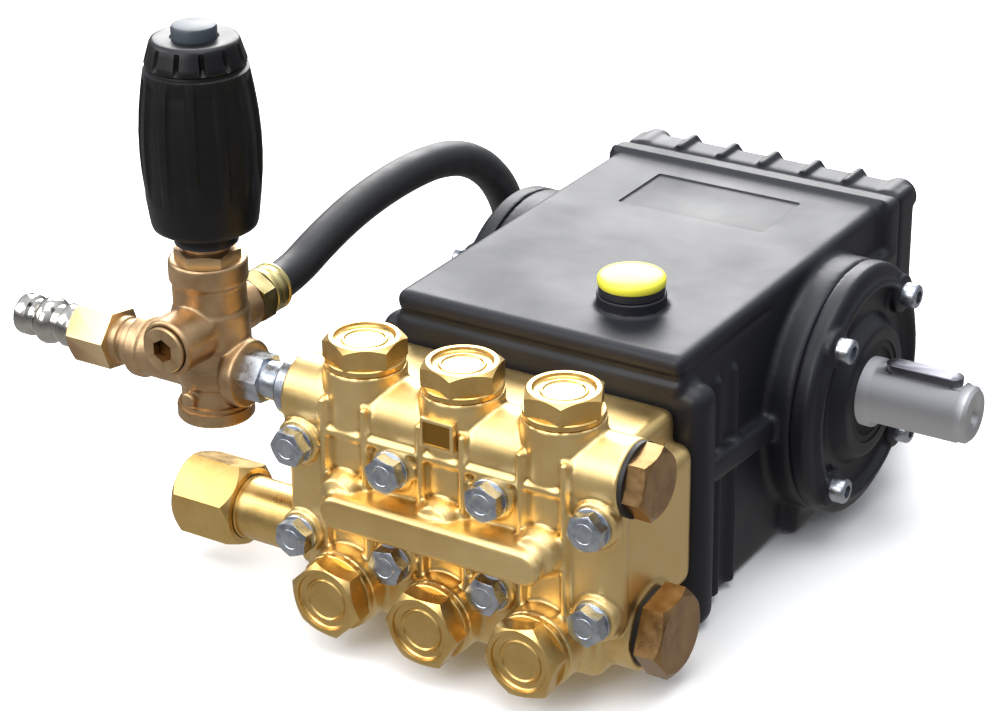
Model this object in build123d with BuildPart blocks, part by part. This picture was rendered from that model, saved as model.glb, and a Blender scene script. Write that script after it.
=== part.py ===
"""Triplex plunger pump with an unloader valve, for a pressure washer.

Frame: +X along the drive shaft towards its keyed end, +Y from the brass manifold
towards the rear cover, +Z up. The origin is the middle of the base's four
threaded holes, on the base plane. All sizes are in millimetres.
"""

from build123d import *
import math
import os

os.makedirs("parts", exist_ok=True)

# ---------------------------------------------------------------- driving sizes
SHAFT_D = 24.0            # drive shaft, keyed end
SHAFT_LENGTH = 40.5       # keyed end beyond the drive cover
SHAFT_Z = 57.0            # shaft axis above the base
CRANK_Y = 26.0            # shaft axis behind the base centre
PITCH = 42.0              # between neighbouring plungers
STROKE = 13.0
PLUNGER_D = 20.0
ROD_CENTRES = 62.0        # connecting rod, eye to eye

CASE_LENGTH = 182.0       # front flange to rear flange
CASE_WIDTH = 124.0
CASE_HEIGHT = 112.5
CASE_WALL = 7.0
FRONT_FLANGE_T = 16.0
FRONT_FLANGE_W = 142.0
REAR_FLANGE_T = 13.5
REAR_FLANGE_W = 132.0
COVER_DEPTH = 32.0
BOSS_R = 51.0             # round boss and cover at each bearing
BOSS_X = 74.0             # boss face from the middle plane
BEARING_COVER_T = 12.0
BASE_HOLE_X = 92.0        # base pattern across the pump
BASE_HOLE_Y = 124.0       # base pattern along the pump

MANIFOLD_DEPTH = 63.0
MANIFOLD_TOP_Z = 94.0
MANIFOLD_BOTTOM_Z = 7.0
MANIFOLD_W = 122.0
BELT_W = 138.0            # around the two rows of bolts
BELT_H = 58.0
BELT_Z = 53.0
FACE_PLATE_W = 142.0
FACE_PLATE_T = 14.0
BOLT_ROW = 37.8           # between the two rows of manifold bolts
BOLT_D = 8.0
VALVE_Y = -140.0          # outlet valves and discharge gallery
GALLERY_Z = 89.5          # discharge gallery
INLET_Z = 22.5            # inlet valves and suction gallery
SUCTION_Y = -125.5        # suction gallery
PLUG_AF = 27.0            # hexagon of the valve plugs
OUT_PLUG_Z = 118.0        # top of the outlet valve plugs
IN_PLUG_Y = -172.3        # front of the inlet valve plugs

UNLOADER_X = -112.0       # unloader's upright axis
UNLOADER_PORT_Z = 107.0   # front plug and bypass port
KNOB_R = 22.6
KNOB_BOTTOM_Z = 143.6
KNOB_TOP_Z = 222.0
HOSE_D = 15.0
HOSE_BORE_D = 9.0

# ------------------------------------------------------------------- clearances
RUN_FIT = 0.03            # radial, shaft in bearing or rod on eccentric
SLIDE_FIT = 0.04          # radial, crosshead in its guide
SCREW_FIT = 0.08          # radial, thread or shank in its hole
BOLT_HOLE_FIT = 0.3       # radial, manifold bolt through the manifold
SEAL_FIT = 0.02           # radial, lip on its shaft
GASKET_T = 0.8

# --------------------------------------------------------------- derived places
CASE_FRONT_Y = -CASE_LENGTH / 2
CASE_REAR_Y = CASE_LENGTH / 2
ECCENTRICITY = STROKE / 2
PIN_Y = CRANK_Y - ROD_CENTRES
PLUNGER_XS = (-PITCH, 0.0, PITCH)
CRANK_ANGLES = (90.0, 210.0, 330.0)
FACE_Y = CASE_FRONT_Y - MANIFOLD_DEPTH
BOLT_XS = (-1.5 * PITCH, -0.5 * PITCH, 0.5 * PITCH, 1.5 * PITCH)
BOLT_PLACES = [(x, SHAFT_Z + s * BOLT_ROW / 2) for x in BOLT_XS for s in (1, -1)]
PAD_T = 2.0               # raised pad under each manifold bolt
SEAT_Y = FACE_Y - PAD_T
COVER_FACE_X = BOSS_X + BEARING_COVER_T
UNLOADER_Y = VALVE_Y


def front_plane(y: float) -> Plane:
    """Plane facing the front (-Y) at this y; its own x and y are X and Z."""
    return Plane.XZ.offset(-y)


def side_plane(x: float) -> Plane:
    """Plane facing +X at this x; its own x and y are Y and Z."""
    return Plane.YZ.offset(x)


def top_plane(z: float) -> Plane:
    """Plane facing up at this z."""
    return Plane.XY.offset(z)


def save(part: BuildPart, name: str) -> None:
    """Label a finished piece and write it as its own STEP file."""
    part.part.label = name
    export_step(part.part, f"parts/{name}.step")


def disc(plane: Plane, places: list, radius: float, length: float, mode: Mode = Mode.ADD) -> None:
    """Round pin or hole from a plane, at places on it, into the part being built."""
    with BuildSketch(plane) as outline:
        with Locations(*places):
            Circle(radius)
    extrude(outline.sketch, amount=length, mode=mode)


def hexagon(plane: Plane, places: list, across_flats: float, length: float,
            turn: float = 0, mode: Mode = Mode.ADD) -> None:
    """Hexagonal prism or socket from a plane, at places on it."""
    with BuildSketch(plane) as outline:
        with Locations(*places):
            RegularPolygon(across_flats / 2, 6, major_radius=False, rotation=turn)
    extrude(outline.sketch, amount=length, mode=mode)


# =================================================================== crankcase
CASE_CORNER_R = 9.0
FLANGE_CORNER_R = 8.0
LIP_T = 12.0              # lip round the top of the front
GUIDE_R = 17.0            # crosshead
GUIDE_WALL = 7.0
GUIDE_REAR_Y = -20.0
FRONT_WALL_T = 11.0
ROD_R = 8.0               # plunger rod
ROD_SEAL_R = 13.0
ROD_SEAL_T = 7.0
BEARING_R = 36.0
BEARING_BORE_R = 15.0
BEARING_W = 19.0
BEARING_INNER_X = BOSS_X - BEARING_W
COVER_SCREW_PITCH_R = 42.5
SCREW_R = 3.0
SCREW_LENGTH = 16.0
SCREW_HEAD_R = 5.0
SCREW_HEAD_H = 6.0
SCREW_SOCKET_AF = 5.0
COVER_SCREWS = [
    (CRANK_Y + COVER_SCREW_PITCH_R * math.cos(math.radians(a)), SHAFT_Z + COVER_SCREW_PITCH_R * math.sin(math.radians(a)))
    for a in (45, 135, 225, 315)
]
REAR_SCREW_X = 57.0
REAR_SCREW_ZS = (8.0, SHAFT_Z, 106.0)
REAR_SCREWS = [(s * REAR_SCREW_X, z) for s in (-1, 1) for z in REAR_SCREW_ZS]
FILLER_X = 22.5
FILLER_Y = -57.5
FILLER_R = 12.0
FILLER_BOSS_R = 14.0
FILLER_BOSS_H = 5.5
BASE_THREAD_R = 4.0
BASE_THREAD_DEPTH = 12.0
RIB_T = 4.0
CASE_FLOOR_Z = 9.0

with BuildPart() as crankcase:
    with BuildSketch(front_plane(CASE_FRONT_Y)):
        with Locations((0, CASE_HEIGHT / 2)):
            RectangleRounded(CASE_WIDTH, CASE_HEIGHT, CASE_CORNER_R)
    extrude(amount=-CASE_LENGTH)
    # front flange that the manifold bolts into, lower than the lip
    with BuildSketch(front_plane(CASE_FRONT_Y)):
        with Locations((0, (CASE_HEIGHT - LIP_T) / 2)):
            RectangleRounded(FRONT_FLANGE_W, CASE_HEIGHT - LIP_T, FLANGE_CORNER_R)
    extrude(amount=-FRONT_FLANGE_T)
    # rear flange that carries the rear cover
    with BuildSketch(front_plane(CASE_REAR_Y - REAR_FLANGE_T)):
        with Locations((0, (CASE_HEIGHT + 2) / 2)):
            RectangleRounded(REAR_FLANGE_W, CASE_HEIGHT + 2, CASE_CORNER_R)
    extrude(amount=-REAR_FLANGE_T)
    # round bosses for the two main bearings
    disc(side_plane(-BOSS_X), [(CRANK_Y, SHAFT_Z)], BOSS_R, 2 * BOSS_X)
    # stiffening ribs along both sides, and uprights before the bosses
    with BuildSketch(side_plane(-FRONT_FLANGE_W / 2 + 2)):
        with Locations((CASE_FRONT_Y + FRONT_FLANGE_T + 22, SHAFT_Z + 2)):
            Rectangle(52, 2 * RIB_T, rotation=-4)
    extrude(amount=FRONT_FLANGE_W - 4)
    with BuildSketch(top_plane(RIB_T)):
        with Locations(*[(0, CASE_FRONT_Y + FRONT_FLANGE_T + d) for d in (11, 24)]):
            Rectangle(CASE_WIDTH + 3, RIB_T)
    extrude(amount=CASE_HEIGHT - LIP_T - 2 * RIB_T)
    # filler neck
    disc(top_plane(CASE_HEIGHT - 1), [(FILLER_X, FILLER_Y)], FILLER_BOSS_R, FILLER_BOSS_H + 1)
    # crank chamber, open at the rear
    with BuildSketch(front_plane(CASE_REAR_Y)):
        with Locations((0, (CASE_HEIGHT + CASE_FLOOR_Z - CASE_WALL) / 2)):
            RectangleRounded(CASE_WIDTH - 2 * CASE_WALL, CASE_HEIGHT - CASE_WALL - CASE_FLOOR_Z, 5)
    extrude(amount=CASE_REAR_Y - GUIDE_REAR_Y, mode=Mode.SUBTRACT)
    # oil pockets over and under the crosshead guides
    pocket_front_y = CASE_FRONT_Y + FRONT_FLANGE_T + 4
    guide_reach = GUIDE_R + GUIDE_WALL
    pocket_top = CASE_HEIGHT - CASE_WALL - SHAFT_Z - guide_reach
    pocket_bottom = SHAFT_Z - guide_reach - CASE_FLOOR_Z
    for mid_z, height in (
        (SHAFT_Z + guide_reach + pocket_top / 2, pocket_top),
        (CASE_FLOOR_Z + pocket_bottom / 2, pocket_bottom),
    ):
        with BuildSketch(front_plane(GUIDE_REAR_Y)):
            with Locations((0, mid_z)):
                RectangleRounded(CASE_WIDTH - 2 * CASE_WALL, height, 4)
        extrude(amount=GUIDE_REAR_Y - pocket_front_y, mode=Mode.SUBTRACT)
    # crosshead guides and rod seal seats
    disc(front_plane(GUIDE_REAR_Y + STROKE / 2), [(x, SHAFT_Z) for x in PLUNGER_XS], GUIDE_R + SLIDE_FIT,
         GUIDE_REAR_Y + STROKE / 2 - CASE_FRONT_Y - FRONT_WALL_T, Mode.SUBTRACT)
    disc(front_plane(CASE_FRONT_Y), [(x, SHAFT_Z) for x in PLUNGER_XS], ROD_SEAL_R,
         -ROD_SEAL_T, Mode.SUBTRACT)
    disc(front_plane(CASE_FRONT_Y), [(x, SHAFT_Z) for x in PLUNGER_XS], ROD_R + 1,
         -FRONT_WALL_T, Mode.SUBTRACT)
    # bearing bores right through both bosses
    disc(side_plane(-BOSS_X), [(CRANK_Y, SHAFT_Z)], BEARING_R, 2 * BOSS_X, Mode.SUBTRACT)
    # threaded holes
    disc(front_plane(CASE_FRONT_Y), BOLT_PLACES, BOLT_D / 2 + SCREW_FIT, -FRONT_FLANGE_T + 1,
         Mode.SUBTRACT)
    disc(front_plane(CASE_REAR_Y), REAR_SCREWS, SCREW_R + SCREW_FIT, REAR_FLANGE_T - 1,
         Mode.SUBTRACT)
    for side in (-1, 1):
        disc(side_plane(side * BOSS_X), COVER_SCREWS, SCREW_R + SCREW_FIT, -side * (SCREW_LENGTH - 4),
             Mode.SUBTRACT)
    disc(top_plane(CASE_HEIGHT + FILLER_BOSS_H), [(FILLER_X, FILLER_Y)], FILLER_R - 3 + SCREW_FIT,
         -FILLER_BOSS_H - CASE_WALL - 2, Mode.SUBTRACT)
    with BuildSketch(top_plane(0)):
        with GridLocations(BASE_HOLE_X, BASE_HOLE_Y, 2, 2):
            Circle(BASE_THREAD_R)
    extrude(amount=BASE_THREAD_DEPTH, mode=Mode.SUBTRACT)
    # relief under the base, between its two side rails
    with BuildSketch(front_plane(CASE_REAR_Y - 20)):
        Rectangle(CASE_WIDTH - 2 * 26, 2 * 3)
    extrude(amount=CASE_LENGTH - 40, mode=Mode.SUBTRACT)
    # shallow rectangle on the top, for a label
    with BuildSketch(top_plane(CASE_HEIGHT)):
        with Locations((0, 47)):
            RectangleRounded(66, 36, 2)
    extrude(amount=-0.8, mode=Mode.SUBTRACT)
save(crankcase, "crankcase")

# ---------------------------------------------------------------- rear cover
COVER_WALL = 5.0
COVER_FRONT_Y = CASE_REAR_Y + GASKET_T
COVER_REAR_Y = COVER_FRONT_Y + COVER_DEPTH
COVER_W = REAR_FLANGE_W - 3
COVER_H = CASE_HEIGHT
SIGHT_R = 14.0
SIGHT_Z = SHAFT_Z - 6
DRAIN_R = 6.5
DRAIN_Z = 17.0
COVER_BOSS_R = 7.5
COVER_RIB_PITCH = 19.5
COVER_RIB_RISE = 1.8
COVER_SCREW_SEAT = SCREW_LENGTH - 8   # cover thickness under each screw head
COVER_PLATE_T = 16.0                  # straight part of the cover before its crown

with BuildPart() as rear_cover:
    with BuildSketch(front_plane(COVER_FRONT_Y)):
        with Locations((0, COVER_H / 2)):
            RectangleRounded(COVER_W, COVER_H, CASE_CORNER_R)
    extrude(amount=-COVER_PLATE_T)
    with BuildSketch(front_plane(COVER_FRONT_Y + COVER_PLATE_T)) as cover_foot:
        with Locations((0, COVER_H / 2)):
            RectangleRounded(COVER_W - 4, COVER_H - 4, CASE_CORNER_R)
    with BuildSketch(front_plane(COVER_REAR_Y)) as cover_crown:
        with Locations((0, COVER_H / 2)):
            RectangleRounded(COVER_W - 26, COVER_H - 26, CASE_CORNER_R)
    loft([cover_foot.sketch, cover_crown.sketch])
    # five cast ribs over the crown
    with BuildSketch(side_plane(0)) as rib_outline:
        with BuildLine():
            Polyline(
                (COVER_FRONT_Y + 2, 1.5),
                (COVER_FRONT_Y + COVER_PLATE_T, 0.8),
                (COVER_REAR_Y + 1.5, 14),
                (COVER_REAR_Y + 1.5, COVER_H - 14),
                (COVER_FRONT_Y + COVER_PLATE_T, COVER_H + COVER_RIB_RISE),
                (COVER_FRONT_Y + 2, COVER_H + COVER_RIB_RISE),
                close=True,
            )
        make_face()
    for count in range(-2, 3):
        extrude(rib_outline.sketch.moved(Location((count * COVER_RIB_PITCH, 0, 0))), amount=1.3, both=True)
    # hollow
    with BuildSketch(front_plane(COVER_FRONT_Y)) as hollow_mouth:
        with Locations((0, COVER_H / 2)):
            RectangleRounded(COVER_W - 38, COVER_H - 30, 6)
    with BuildSketch(front_plane(COVER_REAR_Y - COVER_WALL)) as hollow_end:
        with Locations((0, COVER_H / 2)):
            RectangleRounded(COVER_W - 48, COVER_H - 42, 6)
    loft([hollow_mouth.sketch, hollow_end.sketch], mode=Mode.SUBTRACT)
    # round bosses under the screw heads, and their clear seats
    disc(front_plane(COVER_FRONT_Y), REAR_SCREWS, COVER_BOSS_R, -COVER_PLATE_T - 1)
    disc(front_plane(COVER_FRONT_Y + COVER_SCREW_SEAT), REAR_SCREWS, SCREW_HEAD_R + 0.6,
         -COVER_DEPTH, Mode.SUBTRACT)
    disc(front_plane(COVER_FRONT_Y), REAR_SCREWS, SCREW_R + SCREW_FIT, -COVER_DEPTH, Mode.SUBTRACT)
    # sight glass seat and drain
    disc(front_plane(COVER_REAR_Y - 12), [(0, SIGHT_Z)], SIGHT_R + 4, -16)
    disc(front_plane(COVER_REAR_Y - 12), [(0, SIGHT_Z)], SIGHT_R - 4, -16, Mode.SUBTRACT)
    disc(front_plane(COVER_REAR_Y + 4), [(0, SIGHT_Z)], SIGHT_R + SCREW_FIT, 6, Mode.SUBTRACT)
    disc(front_plane(COVER_REAR_Y - 14), [(0, DRAIN_Z)], DRAIN_R + 4, -16)
    disc(front_plane(COVER_REAR_Y + 2), [(0, DRAIN_Z)], DRAIN_R + SCREW_FIT, 24, Mode.SUBTRACT)
save(rear_cover, "rear_cover")

with BuildPart() as rear_cover_gasket:
    with BuildSketch(front_plane(CASE_REAR_Y)):
        with Locations((0, COVER_H / 2)):
            RectangleRounded(COVER_W - 1, COVER_H - 1, CASE_CORNER_R)
            RectangleRounded(COVER_W - 36, COVER_H - 28, 6, mode=Mode.SUBTRACT)
        with Locations(*REAR_SCREWS):
            Circle(SCREW_R + SCREW_FIT, mode=Mode.SUBTRACT)
    extrude(amount=-GASKET_T)
save(rear_cover_gasket, "rear_cover_gasket")

with BuildPart() as sight_glass:
    disc(front_plane(COVER_REAR_Y - 2), [(0, SIGHT_Z)], SIGHT_R, -7)
    disc(front_plane(COVER_REAR_Y + 5), [(0, SIGHT_Z)], SIGHT_R - 4, 2, Mode.SUBTRACT)
    chamfer(sight_glass.faces().sort_by(Axis.Y)[-1].edges(), 1)
save(sight_glass, "sight_glass")

with BuildPart() as drain_plug:
    disc(front_plane(COVER_REAR_Y + 2), [(0, DRAIN_Z)], DRAIN_R, 10)
    disc(front_plane(COVER_REAR_Y + 2), [(0, DRAIN_Z)], DRAIN_R + 3, -1.5)
    hexagon(front_plane(COVER_REAR_Y + 3.5), [(0, DRAIN_Z)], 13, -6)
save(drain_plug, "drain_plug")

# -------------------------------------------------------------- bearing covers
COVER_LIP_R = BOSS_R
COVER_SPIGOT = 2.0
SHAFT_SEAL_R = 21.0
SHAFT_SEAL_T = 8.0
SHAFT_NECK_R = 14.0       # shaft where the seal runs
SCREW_LUG_R = 8.0


def bearing_cover(side: int) -> None:
    """Cover disc on the boss at one side, with four screw lugs, into the part being built."""
    disc(side_plane(side * BOSS_X), [(CRANK_Y, SHAFT_Z)], COVER_LIP_R, side * (BEARING_COVER_T - 5))
    disc(side_plane(side * BOSS_X), [(CRANK_Y, SHAFT_Z)], COVER_LIP_R - 5, side * (BEARING_COVER_T - 2))
    disc(side_plane(side * BOSS_X), [(CRANK_Y, SHAFT_Z)], SHAFT_SEAL_R + 6, side * BEARING_COVER_T)
    disc(side_plane(side * BOSS_X), [(CRANK_Y, SHAFT_Z)], BEARING_R - RUN_FIT, -side * COVER_SPIGOT)
    disc(side_plane(side * BOSS_X), COVER_SCREWS, SCREW_LUG_R, side * (BEARING_COVER_T - 2))
    disc(side_plane(side * BOSS_X), COVER_SCREWS, SCREW_R + SCREW_FIT, side * BEARING_COVER_T, Mode.SUBTRACT)
    # dished ring between the rim and the hub, left standing at the screws
    with BuildSketch(side_plane(side * (COVER_FACE_X - 2))) as dish:
        with Locations((CRANK_Y, SHAFT_Z)):
            Circle(COVER_LIP_R - 10)
            Circle(SHAFT_SEAL_R + 8, mode=Mode.SUBTRACT)
        with Locations(*COVER_SCREWS):
            Circle(SCREW_LUG_R + 1, mode=Mode.SUBTRACT)
    extrude(dish.sketch, amount=-side * 4, mode=Mode.SUBTRACT)


with BuildPart() as drive_cover:
    bearing_cover(1)
    # the bearing runs free of the spigot's middle, the seal sits in the hub
    disc(side_plane(BOSS_X - COVER_SPIGOT), [(CRANK_Y, SHAFT_Z)], BEARING_R - 6, COVER_SPIGOT, Mode.SUBTRACT)
    disc(side_plane(BOSS_X), [(CRANK_Y, SHAFT_Z)], SHAFT_NECK_R + 2, BEARING_COVER_T, Mode.SUBTRACT)
    disc(side_plane(COVER_FACE_X), [(CRANK_Y, SHAFT_Z)], SHAFT_SEAL_R, -SHAFT_SEAL_T, Mode.SUBTRACT)
save(drive_cover, "drive_cover")

with BuildPart() as blind_cover:
    bearing_cover(-1)
    disc(side_plane(-BOSS_X + COVER_SPIGOT), [(CRANK_Y, SHAFT_Z)], BEARING_R - 6, -COVER_SPIGOT, Mode.SUBTRACT)
save(blind_cover, "blind_cover")

with BuildPart() as shaft_seal:
    disc(side_plane(COVER_FACE_X - SHAFT_SEAL_T), [(CRANK_Y, SHAFT_Z)], SHAFT_SEAL_R, SHAFT_SEAL_T - 0.5)
    disc(side_plane(COVER_FACE_X - SHAFT_SEAL_T), [(CRANK_Y, SHAFT_Z)], SHAFT_NECK_R + SEAL_FIT,
         SHAFT_SEAL_T, Mode.SUBTRACT)
    disc(side_plane(COVER_FACE_X - 2), [(CRANK_Y, SHAFT_Z)], SHAFT_NECK_R + 4, 2, Mode.SUBTRACT)
save(shaft_seal, "shaft_seal")

with BuildPart() as cover_screws:
    # eight in the bearing covers
    for side in (-1, 1):
        seat_x = side * (COVER_FACE_X - 2)
        disc(side_plane(seat_x), COVER_SCREWS, SCREW_HEAD_R, side * SCREW_HEAD_H)
        disc(side_plane(seat_x), COVER_SCREWS, SCREW_R, -side * (SCREW_LENGTH + 4))
        hexagon(side_plane(seat_x + side * SCREW_HEAD_H), COVER_SCREWS, SCREW_SOCKET_AF, -side * 3,
                mode=Mode.SUBTRACT)
    # six in the rear cover
    rear_seat_y = COVER_FRONT_Y + COVER_SCREW_SEAT
    disc(front_plane(rear_seat_y), REAR_SCREWS, SCREW_HEAD_R, -SCREW_HEAD_H)
    disc(front_plane(rear_seat_y), REAR_SCREWS, SCREW_R, SCREW_LENGTH)
    hexagon(front_plane(rear_seat_y + SCREW_HEAD_H), REAR_SCREWS, SCREW_SOCKET_AF, 3, mode=Mode.SUBTRACT)
save(cover_screws, "cover_screws")

# ------------------------------------------------------------------ oil filler
CAP_R = 13.0
CAP_FOOT_H = 3.0
CAP_TOP_Z = 126.5
DIPSTICK_END_Z = 92.0

with BuildPart() as oil_cap:
    disc(top_plane(CASE_HEIGHT + FILLER_BOSS_H), [(FILLER_X, FILLER_Y)], CAP_R - 2.5, CAP_FOOT_H)
    disc(top_plane(CASE_HEIGHT + FILLER_BOSS_H + CAP_FOOT_H), [(FILLER_X, FILLER_Y)], CAP_R,
         CAP_TOP_Z - CASE_HEIGHT - FILLER_BOSS_H - CAP_FOOT_H)
    disc(top_plane(CASE_HEIGHT + FILLER_BOSS_H), [(FILLER_X, FILLER_Y)], FILLER_R - 3, -CASE_WALL - 3)
    fillet(oil_cap.faces().sort_by(Axis.Z)[-1].edges(), 1.2)
    disc(top_plane(CASE_HEIGHT), [(FILLER_X, FILLER_Y)], 2, DIPSTICK_END_Z - CASE_HEIGHT)
save(oil_cap, "oil_cap")

# ================================================================ crank drive
ECCENTRIC_R = 20.0
ECCENTRIC_W = 16.0
CORE_R = 13.0
KEY_W = 8.0
KEY_H = 7.0
KEY_L = 32.0
KEY_SINK = 4.0            # depth of the keyway
KEY_START_X = COVER_FACE_X + 5.0
SHAFT_END_X = COVER_FACE_X + 2.0 + SHAFT_LENGTH
PILOT_L = 5.0             # slightly slimmer tip that starts a pulley square
PILOT_RELIEF = 0.5
NECK_END_X = COVER_FACE_X + 2.0
KEY_MID_X = KEY_START_X + KEY_L / 2
KEY_BOTTOM_Z = SHAFT_Z + SHAFT_D / 2 - KEY_SINK

with BuildPart() as crankshaft:
    disc(side_plane(-BOSS_X + COVER_SPIGOT), [(CRANK_Y, SHAFT_Z)], BEARING_BORE_R, BEARING_W)
    disc(side_plane(-BEARING_INNER_X), [(CRANK_Y, SHAFT_Z)], CORE_R, 2 * BEARING_INNER_X)
    disc(side_plane(BEARING_INNER_X), [(CRANK_Y, SHAFT_Z)], BEARING_BORE_R, BEARING_W)
    disc(side_plane(BOSS_X), [(CRANK_Y, SHAFT_Z)], SHAFT_NECK_R, NECK_END_X - BOSS_X)
    disc(side_plane(NECK_END_X), [(CRANK_Y, SHAFT_Z)], SHAFT_D / 2, SHAFT_LENGTH - PILOT_L)
    disc(side_plane(SHAFT_END_X - PILOT_L), [(CRANK_Y, SHAFT_Z)], SHAFT_D / 2 - PILOT_RELIEF, PILOT_L)
    for x, angle in zip(PLUNGER_XS, CRANK_ANGLES):
        lift = (
            CRANK_Y + ECCENTRICITY * math.cos(math.radians(angle)),
            SHAFT_Z + ECCENTRICITY * math.sin(math.radians(angle)),
        )
        disc(side_plane(x - ECCENTRIC_W / 2), [lift], ECCENTRIC_R, ECCENTRIC_W)
    chamfer(crankshaft.faces().sort_by(Axis.X)[-1].edges(), 1.5)
    # threaded centre in the shaft end, and the keyway
    disc(side_plane(SHAFT_END_X), [(CRANK_Y, SHAFT_Z)], 3.4, -18, Mode.SUBTRACT)
    with BuildSketch(top_plane(KEY_BOTTOM_Z)):
        with Locations((KEY_MID_X, CRANK_Y)):
            SlotOverall(KEY_L, KEY_W)
    extrude(amount=KEY_SINK + 1, mode=Mode.SUBTRACT)
save(crankshaft, "crankshaft")

with BuildPart() as shaft_key:
    with BuildSketch(top_plane(KEY_BOTTOM_Z)):
        with Locations((KEY_MID_X, CRANK_Y)):
            SlotOverall(KEY_L - 0.04, KEY_W - 0.04)
    extrude(amount=KEY_H)
    chamfer(shaft_key.faces().sort_by(Axis.Z)[-1].edges(), 0.3)
save(shaft_key, "shaft_key")

RACE_T = 6.0
BALL_R = 5.5
BALL_COUNT = 9
BALL_PITCH_R = (BEARING_R + BEARING_BORE_R) / 2
BEARING_MIDS = (-BOSS_X + COVER_SPIGOT + BEARING_W / 2, BOSS_X - COVER_SPIGOT - BEARING_W / 2)

with BuildPart() as bearing_outer_rings:
    for mid_x in BEARING_MIDS:
        disc(side_plane(mid_x - BEARING_W / 2 + 1), [(CRANK_Y, SHAFT_Z)], BEARING_R - RUN_FIT, BEARING_W - 2)
        disc(side_plane(mid_x - BEARING_W / 2), [(CRANK_Y, SHAFT_Z)], BEARING_R - RACE_T, BEARING_W, Mode.SUBTRACT)
    with Locations(*[(mid_x, CRANK_Y, SHAFT_Z) for mid_x in BEARING_MIDS]):
        Torus(BALL_PITCH_R, BALL_R + RUN_FIT, rotation=(0, 90, 0), mode=Mode.SUBTRACT)
save(bearing_outer_rings, "bearing_outer_rings")

with BuildPart() as bearing_inner_rings:
    for mid_x in BEARING_MIDS:
        disc(side_plane(mid_x - BEARING_W / 2 + 1), [(CRANK_Y, SHAFT_Z)], BEARING_BORE_R + RACE_T, BEARING_W - 2)
        disc(side_plane(mid_x - BEARING_W / 2), [(CRANK_Y, SHAFT_Z)], BEARING_BORE_R + 0.01, BEARING_W, Mode.SUBTRACT)
    with Locations(*[(mid_x, CRANK_Y, SHAFT_Z) for mid_x in BEARING_MIDS]):
        Torus(BALL_PITCH_R, BALL_R + RUN_FIT, rotation=(0, 90, 0), mode=Mode.SUBTRACT)
save(bearing_inner_rings, "bearing_inner_rings")

with BuildPart() as bearing_balls:
    for mid_x in BEARING_MIDS:
        for count in range(BALL_COUNT):
            turn = math.radians(360 * count / BALL_COUNT)
            ball_y = CRANK_Y + BALL_PITCH_R * math.cos(turn)
            ball_z = SHAFT_Z + BALL_PITCH_R * math.sin(turn)
            with Locations((mid_x, ball_y, ball_z)):
                Sphere(BALL_R)
save(bearing_balls, "bearing_balls")

# ----------------------------------- connecting rods, crossheads and plungers
BIG_END_R = 26.0
BIG_END_W = 14.0
SMALL_END_R = 7.2
SMALL_END_W = 10.0
WRIST_PIN_R = 4.0
WRIST_PIN_L = 15.0
SHANK_H = 10.0
SHANK_W = 9.0
CROSSHEAD_R = GUIDE_R
CROSSHEAD_BORE_R = 15.0
CROSSHEAD_FRONT_Y = PIN_Y - 30.0
CROSSHEAD_L = 44.0
CROSSHEAD_HEAD_T = 8.0
ROD_FRONT_Y = CASE_FRONT_Y - 8.0
PLUNGER_L = 38.0
PLUNGER_BORE_R = 3.5
TIP_THREAD_R = 3.0
TIP_HEAD_R = 6.0
TIP_HEAD_H = 4.0

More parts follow.
